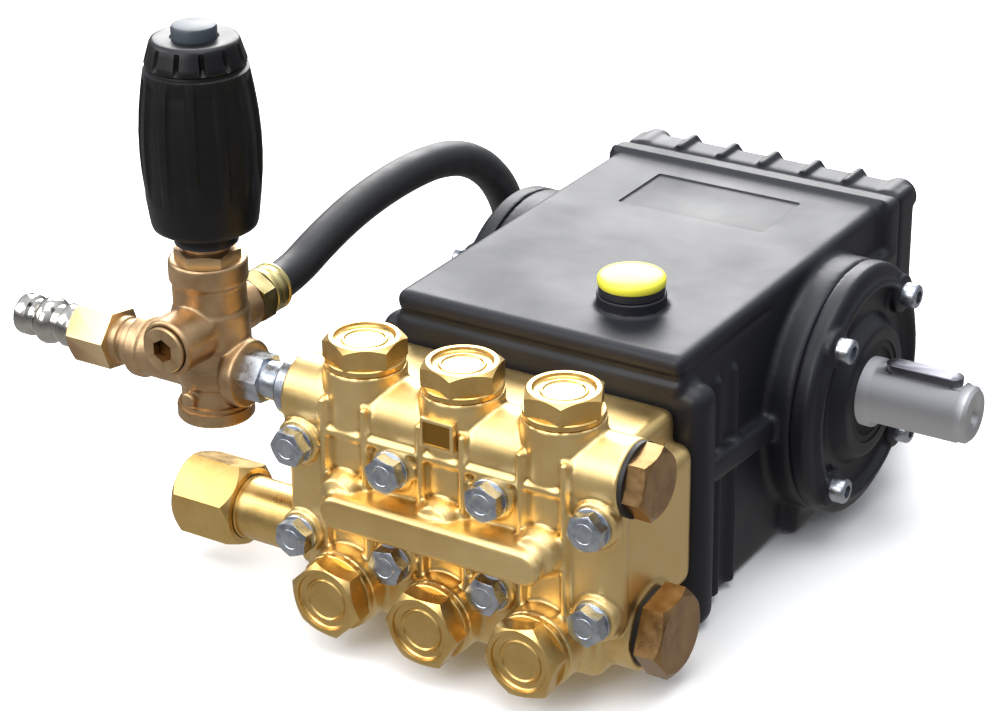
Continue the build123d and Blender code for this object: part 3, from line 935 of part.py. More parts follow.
# ---------------------------------------------------------------- bypass hose
FERRULE_R = 9.6
FERRULE_L = 16.0
HOSE_START = (UNLOADER_X, -101.0, UNLOADER_PORT_Z)
with BuildPart() as bypass_fitting:
    disc(front_plane(REAR_ARM_END_Y), [(UNLOADER_X, UNLOADER_PORT_Z)], 6.5, 9)
    hexagon(front_plane(REAR_ARM_END_Y), [(UNLOADER_X, UNLOADER_PORT_Z)], 19, -8)
    disc(front_plane(REAR_ARM_END_Y + 8), [(UNLOADER_X, UNLOADER_PORT_Z)], FERRULE_R, -(HOSE_START[1] - REAR_ARM_END_Y - 8))
    disc(front_plane(REAR_ARM_END_Y - 9), [(UNLOADER_X, UNLOADER_PORT_Z)], 3, -40, Mode.SUBTRACT)
save(bypass_fitting, "bypass_fitting")

# the hose runs rearwards beside the case, bends down behind the blind cover and
# comes back along the base to the return port on the inlet pipe
HOSE_ROUTE = [
    HOSE_START,
    (UNLOADER_X, -89.0, UNLOADER_PORT_Z),
    (-111.5, -68.0, 114.5),
    (-110.5, -44.0, 120.5),
    (-109.0, -18.0, 123.5),
    (-107.5, 8.0, 123.0),
    (-106.5, 30.0, 117.0),
    (-105.5, 48.0, 104.5),
    (-105.0, 60.0, 88.0),
    (-105.0, 66.0, 68.0),
    (-105.0, 64.0, 48.0),
    (-105.0, 54.0, 30.0),
    (-105.0, 38.0, 17.0),
    (-105.0, 17.0, 10.5),
    (-104.0, -8.0, 9.5),
    (-101.0, -33.0, 12.0),
    (-95.5, -57.0, 18.0),
    (BARB_X, -79.0, INLET_Z),
    (BARB_X, BARB_END_Y, INLET_Z),
]


def hose_radii(points: list) -> list:
    """Largest arc at each inner point that its two runs allow, 0.45 of the shorter one."""
    vectors = [Vector(*point) for point in points]
    radii = []
    for before, here, after in zip(vectors, vectors[1:], vectors[2:]):
        shorter = min((here - before).length, (after - here).length)
        turn = math.radians((here - before).get_angle(after - here))
        radii.append(0.45 * shorter / math.tan(turn / 2))
    return radii


HOSE_RADII = hose_radii(HOSE_ROUTE)
with BuildPart() as bypass_hose:
    with BuildLine() as hose_line:
        FilletPolyline(*HOSE_ROUTE, radius=HOSE_RADII)
    hose_path = hose_line.wire()
    with BuildSketch(Plane(origin=hose_path @ 0, z_dir=hose_path % 0)):
        Circle(HOSE_D / 2)
    sweep(path=hose_path)
print("hose arc radii", [round(radius, 1) for radius in HOSE_RADII])
print("hose length", round(hose_path.length, 1), "section x length",
      round(hose_path.length * math.pi * HOSE_D ** 2 / 4), "volume", round(bypass_hose.part.volume))
save(bypass_hose, "bypass_hose")
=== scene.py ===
"""Triplex plunger pump with a brass manifold and an unloader valve: the visual model.

Every size is in millimetres until a piece is finished, when its mesh is turned
to metres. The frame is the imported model's: +X along the drive shaft, +Y from
the manifold to the rear cover, +Z up from the base plane.
"""

import functools
import logging
import math
from dataclasses import dataclass, field
from enum import Enum

import bmesh
import bpy
from mathutils import Matrix, Vector


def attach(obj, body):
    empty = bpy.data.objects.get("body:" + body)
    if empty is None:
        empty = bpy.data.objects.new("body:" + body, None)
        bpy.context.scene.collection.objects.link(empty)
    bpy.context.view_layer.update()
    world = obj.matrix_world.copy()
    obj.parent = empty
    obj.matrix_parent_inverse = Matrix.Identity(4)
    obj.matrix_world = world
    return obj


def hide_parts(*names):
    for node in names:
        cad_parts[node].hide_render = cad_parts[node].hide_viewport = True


LOG = logging.getLogger("pump")
MM = 0.001

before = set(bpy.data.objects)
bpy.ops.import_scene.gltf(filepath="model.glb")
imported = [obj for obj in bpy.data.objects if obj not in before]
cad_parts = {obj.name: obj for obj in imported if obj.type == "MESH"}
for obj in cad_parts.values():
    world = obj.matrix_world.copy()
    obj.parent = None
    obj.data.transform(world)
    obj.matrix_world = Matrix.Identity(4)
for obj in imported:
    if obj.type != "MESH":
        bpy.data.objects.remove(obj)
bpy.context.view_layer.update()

Point = tuple[float, float, float]


class Toward(Enum):
    """Direction that a turned or hexagonal piece points in."""

    RIGHT = (1.0, 0.0, 0.0)
    LEFT = (-1.0, 0.0, 0.0)
    REAR = (0.0, 1.0, 0.0)
    FRONT = (0.0, -1.0, 0.0)
    UP = (0.0, 0.0, 1.0)
    DOWN = (0.0, 0.0, -1.0)

    def seat(self, at: Point) -> Matrix:
        """Matrix that takes local +Z at the origin to this direction at a point."""
        turn = Vector((0, 0, 1)).rotation_difference(Vector(self.value)).to_matrix().to_4x4()
        return Matrix.Translation(at) @ turn


# --------------------------------------------------------------------- finishes
def linear(hex_colour: str) -> tuple[float, float, float, float]:
    """Turn an sRGB hex colour to linear.

    Args:
        hex_colour: six hex digits.

    Returns:
        Linear red, green, blue and an alpha of one.
    """
    parts = [int(hex_colour[i:i + 2], 16) / 255 for i in (0, 2, 4)]
    low, high = 12.92, 1.055
    return tuple(c / low if c <= 0.04045 else ((c + 0.055) / high) ** 2.4 for c in parts) + (1.0,)


def add_node(material: bpy.types.Material, kind: str, settings: dict | None = None,
             links: dict | None = None) -> bpy.types.Node:
    """Add a shader node.

    Args:
        material: the material it goes in.
        kind: the node's type name after "ShaderNode".
        settings: attribute names or input names and their values.
        links: input names and the output sockets that feed them.

    Returns:
        The new node.
    """
    node = material.node_tree.nodes.new("ShaderNode" + kind)
    for key, value in (settings or {}).items():
        if hasattr(node, key):
            setattr(node, key, value)
        else:
            node.inputs[key].default_value = value
    for key, socket in (links or {}).items():
        material.node_tree.links.new(socket, node.inputs[key])
    return node


@dataclass(frozen=True)
class Finish:
    """A real material and how its surface was made.

    Colours are sRGB hex. Sizes are in millimetres.
    """

    name: str
    colour: str
    shade: str                    # colour of the darker cloudy patches
    metallic: float = 0.0
    roughness: float = 0.5
    rough_swing: float = 0.08     # how much the roughness wanders
    grain_mm: float = 1.0         # size of the fine bumps
    bump_mm: float = 0.05         # height of the fine bumps
    cloud_mm: float = 25.0        # size of the colour patches
    cloud: float = 0.5            # strength of the colour patches
    painted_hollow_shade: str = ""             # painted shade: darker colour put in the hollows
    painted_edge_highlight: str = ""                # painted highlight: colour put on sharp edges
    coat: float = 0.0
    sheen: float = 0.0
    lines_mm: float = 0.0         # pitch of the tool marks round the axis
    lines_axis: str = "Z"
    highlight_low: float = 0.56        # pointiness where the painted edge highlight begins
    highlight_high: float = 0.66
    clear: float = 0.0            # share of light let through
    ior: float = 1.5              # metals keep this default

    def make(self) -> bpy.types.Material:
        """Build the material, or return it when it has been built."""
        made = bpy.data.materials.get(self.name)
        if made:
            return made
        made = bpy.data.materials.new(self.name)
        made.use_nodes = True
        tree = made.node_tree
        shader = tree.nodes["Principled BSDF"]
        place = add_node(made, "TexCoord").outputs["Object"]
        clouds = add_node(made, "TexNoise", {"Scale": 1 / (self.cloud_mm * MM), "Detail": 6.0, "Roughness": 0.6},
                          {"Vector": place})
        patches = add_node(made, "ValToRGB", {}, {"Fac": clouds.outputs["Fac"]})
        patches.color_ramp.elements[0].position = 0.35
        patches.color_ramp.elements[1].position = 0.68
        patches.color_ramp.elements[0].color = (self.cloud,) * 3 + (1,)
        patches.color_ramp.elements[1].color = (0, 0, 0, 1)
        tone = add_node(made, "Mix", {"data_type": "RGBA"}, {"Factor": patches.outputs["Color"]})
        tone.inputs[6].default_value = linear(self.colour)
        tone.inputs[7].default_value = linear(self.shade)
        colour = tone.outputs[2]
        sharpness = add_node(made, "NewGeometry").outputs["Pointiness"]
        # painted shade: hollows, found by low pointiness, take the darker colour
        if self.painted_hollow_shade:
            colour = self.tint(made, colour, sharpness, self.painted_hollow_shade, 0.49, 0.42)
        # painted highlight: sharp edges, found by high pointiness, take the lighter colour
        if self.painted_edge_highlight:
            colour = self.tint(made, colour, sharpness, self.painted_edge_highlight, self.highlight_low, self.highlight_high)
        tree.links.new(colour, shader.inputs["Base Color"])
        shader.inputs["Metallic"].default_value = self.metallic
        shader.inputs["Coat Weight"].default_value = self.coat
        shader.inputs["Coat Roughness"].default_value = 0.12
        shader.inputs["Sheen Weight"].default_value = self.sheen
        shader.inputs["Transmission Weight"].default_value = self.clear
        shader.inputs["IOR"].default_value = self.ior
        rub = add_node(made, "MapRange", {"From Min": 0.3, "From Max": 0.7,
                                          "To Min": self.roughness - self.rough_swing,
                                          "To Max": self.roughness + self.rough_swing},
                       {"Value": clouds.outputs["Fac"]})
        tree.links.new(rub.outputs["Result"], shader.inputs["Roughness"])
        grain = add_node(made, "TexNoise", {"Scale": 1 / (self.grain_mm * MM), "Detail": 3.0}, {"Vector": place})
        height = grain.outputs["Fac"]
        if self.lines_mm:
            marks = add_node(made, "TexWave", {"wave_type": "BANDS", "bands_direction": self.lines_axis,
                                               "Scale": 0.314 / (self.lines_mm * MM), "Distortion": 0.4},
                             {"Vector": place})
            height = add_node(made, "Math", {"operation": "ADD"},
                              {0: height, 1: marks.outputs["Fac"]}).outputs["Value"]
        relief = add_node(made, "Bump", {"Strength": 0.6, "Distance": self.bump_mm * MM}, {"Height": height})
        tree.links.new(relief.outputs["Normal"], shader.inputs["Normal"])
        return made

    def tint(self, made: bpy.types.Material, colour: bpy.types.NodeSocket, sharpness: bpy.types.NodeSocket,
             tint: str, start: float, full: float) -> bpy.types.NodeSocket:
        """Mix a colour in where the surface is as hollow or as sharp as asked: painted shade in the hollows, painted
        highlight on sharp edges.
        """
        amount = add_node(made, "MapRange", {"From Min": start, "From Max": full}, {"Value": sharpness})
        mix = add_node(made, "Mix", {"data_type": "RGBA"}, {"Factor": amount.outputs["Result"]})
        mix.inputs[7].default_value = linear(tint)
        made.node_tree.links.new(colour, mix.inputs[6])
        return mix.outputs[2]


# sand-cast aluminium under satin powder: soft sheen, fine orange peel, painted shade in the hollows and a painted
# highlight on the edges
POWDER_COAT = Finish("powder_coated_aluminium", "1c1d24", "16171c", roughness=0.47, grain_mm=0.9, bump_mm=0.05,
                     cloud_mm=60, cloud=0.6, painted_hollow_shade="09090b", painted_edge_highlight="34343b", highlight_low=0.58, highlight_high=0.72,
                     ior=1.4)
# hot-forged brass, bead blasted: satin, golden, with brown painted shade in the hollows and a pale painted highlight
# on the edges
FORGED_BRASS = Finish("blasted_forged_brass", "ecd093", "dfba74", metallic=1.0, roughness=0.38, rough_swing=0.06,
                      grain_mm=0.7, bump_mm=0.035, cloud_mm=30, cloud=0.7, painted_hollow_shade="9a7232", painted_edge_highlight="f9ebc4")
# turned and milled brass bar: brighter, with fine tool marks
TURNED_BRASS = Finish("turned_brass", "e0be7a", "cba45c", metallic=1.0, roughness=0.3, rough_swing=0.07,
                      grain_mm=1.6, bump_mm=0.02, cloud_mm=12, cloud=0.7)
# end plugs: the same bar, coloured a darker brown
BROWNED_BRASS = Finish("browned_turned_brass", "b08c60", "87663f", metallic=1.0, roughness=0.3, rough_swing=0.08,
                       grain_mm=1.6, bump_mm=0.02, cloud_mm=9, cloud=0.9)
# unloader body: forged brass left unpolished, so a duller brown with a satin sheen; dark brown painted shade in the
# hollows and a pale painted highlight on the edges
BRONZED_BRASS = Finish("bronzed_forged_brass", "c8aa84", "a5845e", metallic=1.0, roughness=0.42, rough_swing=0.07,
                       grain_mm=0.8, bump_mm=0.045, cloud_mm=14, cloud=0.8, painted_hollow_shade="5a4022", painted_edge_highlight="ead0a0")
# bright zinc plate on rolled steel
ZINC_PLATE = Finish("zinc_plated_steel", "c3c8cf", "9aa0aa", metallic=1.0, roughness=0.3, rough_swing=0.1,
                    grain_mm=0.8, bump_mm=0.03, cloud_mm=4, cloud=0.8)
# yellow passivated zinc: the same plate with a faint straw tint
YELLOW_ZINC = Finish("yellow_passivated_zinc", "c9bd8a", "a3925a", metallic=1.0, roughness=0.32, grain_mm=1.0,
                     bump_mm=0.02, cloud_mm=6, cloud=0.8)
# nickel plate over turned steel: the brightest metal, nearly a mirror
NICKEL = Finish("nickel_plated_steel", "c9c6bf", "9e9a92", metallic=1.0, roughness=0.16, rough_swing=0.05,
                grain_mm=2.0, bump_mm=0.008, cloud_mm=7, cloud=0.5)
# ground steel: even grey with fine lines across the shaft
GROUND_STEEL = Finish("ground_steel", "9c9b9b", "737170", metallic=1.0, roughness=0.22, rough_swing=0.08,
                      grain_mm=3.0, bump_mm=0.012, cloud_mm=14, cloud=0.6, lines_mm=0.7, lines_axis="X")
# cold-drawn bar: dull dark grey
KEY_STEEL = Finish("drawn_key_steel", "6e6e75", "54545a", metallic=1.0, roughness=0.42, grain_mm=1.2, bump_mm=0.02)
# turned stainless, aluminium and ground ceramic, all inside the case or the head
STAINLESS = Finish("stainless_steel", "b4b4b2", "94938f", metallic=1.0, roughness=0.25, bump_mm=0.01)
PLAIN_ALUMINIUM = Finish("machined_aluminium", "c2c3c5", "a8a9ab", metallic=1.0, roughness=0.35, bump_mm=0.01)
CERAMIC = Finish("ground_ceramic", "efece4", "e4dfd2", roughness=0.15, bump_mm=0.002)
# moulded glass-filled nylon: matt black with a grey painted highlight on edges and near-black painted shade in the
# hollows
MOULDED_NYLON = Finish("moulded_nylon", "0c0c0e", "08080a", roughness=0.38, rough_swing=0.07, grain_mm=0.8,
                       bump_mm=0.03, cloud_mm=20, cloud=0.8, painted_hollow_shade="070708", painted_edge_highlight="3a3a40",
                       highlight_low=0.53, highlight_high=0.62, ior=1.38)
# the knob's button: the same nylon, coloured slate grey
BUTTON_NYLON = Finish("grey_moulded_nylon", "3b434c", "30363d", roughness=0.5, grain_mm=0.8, bump_mm=0.02)
# injection-moulded ABS: bright yellow, smooth, with a paler painted highlight on the edges
YELLOW_ABS = Finish("yellow_moulded_abs", "eeea4c", "e2da38", roughness=0.36, rough_swing=0.05, grain_mm=2.5,
                    bump_mm=0.012, cloud_mm=9, cloud=0.4, painted_edge_highlight="f8f7a6")
# clear moulded window, oil seen faintly behind it
CLEAR_WINDOW = Finish("clear_moulded_polycarbonate", "d9dcd2", "c9c8b4", roughness=0.08, rough_swing=0.02,
                      grain_mm=3, bump_mm=0.004, cloud_mm=14, coat=0.5, clear=0.35)
# moulded nitrile: matt black
NITRILE = Finish("black_nitrile", "161617", "1f1f20", roughness=0.6, grain_mm=0.9, bump_mm=0.02)
# pressed fibre sheet: dark brown edge
FIBRE = Finish("fibre_gasket", "2a2826", "1d1c1b", roughness=0.85, grain_mm=0.6, bump_mm=0.05)
# braided hose under a smooth extruded cover: faint lay lines, dusty
HOSE_COVER = Finish("extruded_rubber_cover", "0e0e10", "17181b", roughness=0.5, rough_swing=0.1, grain_mm=1.3,
                    bump_mm=0.05, cloud_mm=11, cloud=0.8, sheen=0.05)


# ------------------------------------------------------------------ mesh making
class Form:
    """A closed shape in millimetres, built from overlapping bodies."""

    def __init__(self) -> None:
        """Start with nothing."""
        self.mesh = bmesh.new()

    def take(self, part: bmesh.types.BMesh, place: Matrix | None = None) -> "Form":
        """Add another bmesh to this form, moved by a matrix, and free it."""
        if place is not None:
            bmesh.ops.transform(part, matrix=place, verts=part.verts)
        bmesh.ops.recalc_face_normals(part, faces=part.faces)
        scrap = bpy.data.meshes.new("scrap")
        part.to_mesh(scrap)
        part.free()
        self.mesh.from_mesh(scrap)
        bpy.data.meshes.remove(scrap)
        return self

    def box(self, low: Point, high: Point, rounding: float = 0.0, steps: int = 3,
            tilt: Matrix | None = None) -> "Form":
        """Add a box between two corners.

        Args:
            low: lowest corner.
            high: highest corner.
            rounding: radius of all its edges.
            steps: segments in each rounding.
            tilt: turn about the box's middle.

        Returns:
            This form.
        """
        part = bmesh.new()
        bmesh.ops.create_cube(part, size=1.0)
        size = [b - a for a, b in zip(low, high)]
        middle = Vector([(a + b) / 2 for a, b in zip(low, high)])
        bmesh.ops.scale(part, vec=size, verts=part.verts)
        if rounding:
            bmesh.ops.bevel(part, geom=part.edges[:], offset=rounding, segments=steps, profile=0.5,
                            affect="EDGES", material=-1)
        return self.take(part, Matrix.Translation(middle) @ (tilt or Matrix()))

    def turned(self, toward: Toward, at: Point, outline: list[tuple[float, float]], steps: int = 72) -> "Form":
        """Add a body turned about an axis.

        Args:
            toward: direction of its axis.
            at: the point on the axis where heights start.
            outline: radius and height of each corner, from axis to axis.
            steps: facets round it.

        Returns:
            This form.
        """
        part = bmesh.new()
        corners = [part.verts.new((radius, 0, height)) for radius, height in outline]
        rim = [part.edges.new(pair) for pair in zip(corners, corners[1:])]
        bmesh.ops.spin(part, geom=corners + rim, cent=(0, 0, 0), axis=(0, 0, 1), angle=math.tau,
                       steps=steps, use_merge=True)
        bmesh.ops.remove_doubles(part, verts=part.verts, dist=0.0005)
        return self.take(part, toward.seat(at))

    def drum(self, toward: Toward, at: Point, radius: float, length: float, rounding: float = 0.0,
             steps: int = 72) -> "Form":
        """Add a plain cylinder with both rims rounded by two chamfers."""
        soft = rounding
        outline = [(0, 0), (radius, 0), (radius, length), (0, length)]
        if soft:
            inner = radius - soft
            mid = soft * 0.293
            outline = [(0, 0), (inner, 0), (radius - mid, mid), (radius, soft), (radius, length - soft),
                       (radius - mid, length - mid), (inner, length), (0, length)]
        return self.turned(toward, at, outline, steps)

    def hexagon(self, toward: Toward, at: Point, across_flats: float, length: float, turn: float = 0.0,
                soft: float = 0.4) -> "Form":
        """Add a hexagonal prism with its long edges eased.

        Args:
            toward: direction that it stands in.
            at: middle of its foot.
            across_flats: its width.
            length: its height.
            turn: degrees about its axis.
            soft: width of the eased edges.

        Returns:
            This form.
        """
        part = bmesh.new()
        radius = across_flats / math.sqrt(3)
        bmesh.ops.create_circle(part, cap_ends=True, segments=6, radius=radius)
        raised = bmesh.ops.extrude_face_region(part, geom=part.faces[:])
        tops = [item for item in raised["geom"] if isinstance(item, bmesh.types.BMVert)]
        bmesh.ops.translate(part, verts=tops, vec=(0, 0, length))
        if soft:
            bmesh.ops.bevel(part, geom=part.edges[:], offset=soft, segments=2, profile=0.5,
                            affect="EDGES", material=-1)
        return self.take(part, toward.seat(at) @ Matrix.Rotation(math.radians(turn), 4, "Z"))

    def plate(self, toward: Toward, at: Point, outline: list[tuple[float, float]], thickness: float,
              soft: float = 0.0) -> "Form":
        """Add a flat plate of any outline, standing on the plane it starts from."""
        part = bmesh.new()
        ring = [part.verts.new((x, y, 0)) for x, y in outline]
        face = part.faces.new(ring)
        raised = bmesh.ops.extrude_face_region(part, geom=[face])
        tops = [item for item in raised["geom"] if isinstance(item, bmesh.types.BMVert)]
        bmesh.ops.translate(part, verts=tops, vec=(0, 0, thickness))
        if soft:
            bmesh.ops.bevel(part, geom=part.edges[:], offset=soft, segments=2, profile=0.5,
                            affect="EDGES", material=-1)
        return self.take(part, toward.seat(at))

    def repeat(self, part: "Form", places: list[Matrix]) -> "Form":
        """Add copies of another form at several places."""
        scrap = bpy.data.meshes.new("scrap")
        for place in places:
            copy = part.mesh.copy()
            bmesh.ops.transform(copy, matrix=place, verts=copy.verts)
            copy.to_mesh(scrap)
            copy.free()
            self.mesh.from_mesh(scrap)
        bpy.data.meshes.remove(scrap)
        return self


def settle(piece: bpy.types.Object) -> None:
    """Put a piece's modifiers into its mesh and drop them."""
    view = bpy.context.evaluated_depsgraph_get()
    view.update()
    old = piece.data
    new = bpy.data.meshes.new_from_object(piece.evaluated_get(view))
    piece.modifiers.clear()
    piece.data = new
    bpy.data.meshes.remove(old)


def carve(piece: bpy.types.Object, cutter: Form, operation: str = "DIFFERENCE", crossing: bool = True) -> None:
    """Cut a form out of a piece, or keep what they share.

    Args:
        piece: an object whose mesh is still in millimetres.
        cutter: the form that cuts it.
        operation: DIFFERENCE or INTERSECT.
        crossing: whether either mesh is made of bodies that overlap.
    """
    mesh = bpy.data.meshes.new("cutter")
    cutter.mesh.to_mesh(mesh)
    cutter.mesh.free()
    tool = bpy.data.objects.new("cutter", mesh)
    bpy.context.scene.collection.objects.link(tool)
    change = piece.modifiers.new("cut", "BOOLEAN")
    change.operation = operation
    change.solver = "EXACT"
    change.use_self = crossing
    change.object = tool
    settle(piece)
    bpy.data.objects.remove(tool)
    bpy.data.meshes.remove(mesh)


def rough_piece(name: str, form: Form) -> bpy.types.Object:
    """Make an object, still in millimetres, from a form."""
    mesh = bpy.data.meshes.new(name)
    form.mesh.to_mesh(mesh)
    form.mesh.free()
    piece = bpy.data.objects.new(name, mesh)
    bpy.context.scene.collection.objects.link(piece)
    return piece


def fuse(piece: bpy.types.Object, voxel: float, passes: int) -> None:
    """Melt a casting's overlapping bodies to one skin with soft fillets.

    Args:
        piece: an object in millimetres.
        voxel: size of the skin's squares.
        passes: how often the skin is smoothed.
    """
    skin = piece.modifiers.new("skin", "REMESH")
    skin.mode = "VOXEL"
    skin.voxel_size = voxel
    soft = piece.modifiers.new("soft", "SMOOTH")
    soft.factor = 0.5
    soft.iterations = passes
    settle(piece)


def hand_over(piece: bpy.types.Object, finish: Finish, body: str, nodes: tuple[str, ...] = (),
              crease: float = 38.0, extra: tuple[Finish, ...] = ()) -> bpy.types.Object:
    """Finish a piece: turn it to metres, shade, dress and place it on its body.

    Args:
        piece: an object in millimetres.
        finish: its first material.
        body: the moving body that it rides on.
        nodes: parts that it stands for.
        crease: angle in degrees above which an edge looks sharp.
        extra: finishes of its further material slots.

    Returns:
        The piece.
    """
    piece.data.transform(Matrix.Scale(MM, 4))
    for face in piece.data.polygons:
        face.use_smooth = True
    piece.data.set_sharp_from_angle(angle=math.radians(crease))
    piece.data.materials.clear()
    for item in (finish, *extra):
        piece.data.materials.append(item.make())
    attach(piece, body)
    if nodes:
        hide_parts(*nodes)
    LOG.info("%s: %d faces on %s", piece.name, len(piece.data.polygons), body)
    return piece


def copy_of(node: str, name: str) -> bpy.types.Object:
    """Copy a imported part's mesh, merged, in millimetres, as a new piece."""
    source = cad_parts[node]
    part = bmesh.new()
    part.from_mesh(source.data)
    bmesh.ops.scale(part, vec=(1 / MM,) * 3, verts=part.verts)
    bmesh.ops.remove_doubles(part, verts=part.verts, dist=0.002)
    mesh = bpy.data.meshes.new(name)
    part.to_mesh(mesh)
    part.free()
    piece = bpy.data.objects.new(name, mesh)
    bpy.context.scene.collection.objects.link(piece)
    return piece


@functools.cache
def hex_mesh(across_flats: float, height: float, chamfer: float) -> bpy.types.Mesh:
    """Hexagon head with the round chamfer that turning leaves on its corners."""
    corner = across_flats / math.sqrt(3)
    flat = across_flats / 2
    drop = chamfer or (corner - flat) * 0.9
    head = rough_piece("head", Form().hexagon(Toward.UP, (0, 0, 0), across_flats, height, soft=0.0))
    carve(head, Form().turned(Toward.UP, (0, 0, -1), [(0, 0), (corner + 1, 0), (corner + 0.4, height + 1 - drop),
                                                      (flat - 0.4, height + 1), (0, height + 1)], 96), "INTERSECT")
    mesh = head.data
    bpy.data.objects.remove(head)
    return mesh


def hex_head(across_flats: float, height: float, chamfer: float = 0.0) -> Form:
    """Form of a chamfered hexagon head, cut once for each size."""
    form = Form()
    form.mesh.from_mesh(hex_mesh(across_flats, height, chamfer))
    bmesh.ops.remove_doubles(form.mesh, verts=form.mesh.verts, dist=0.001)
    return form


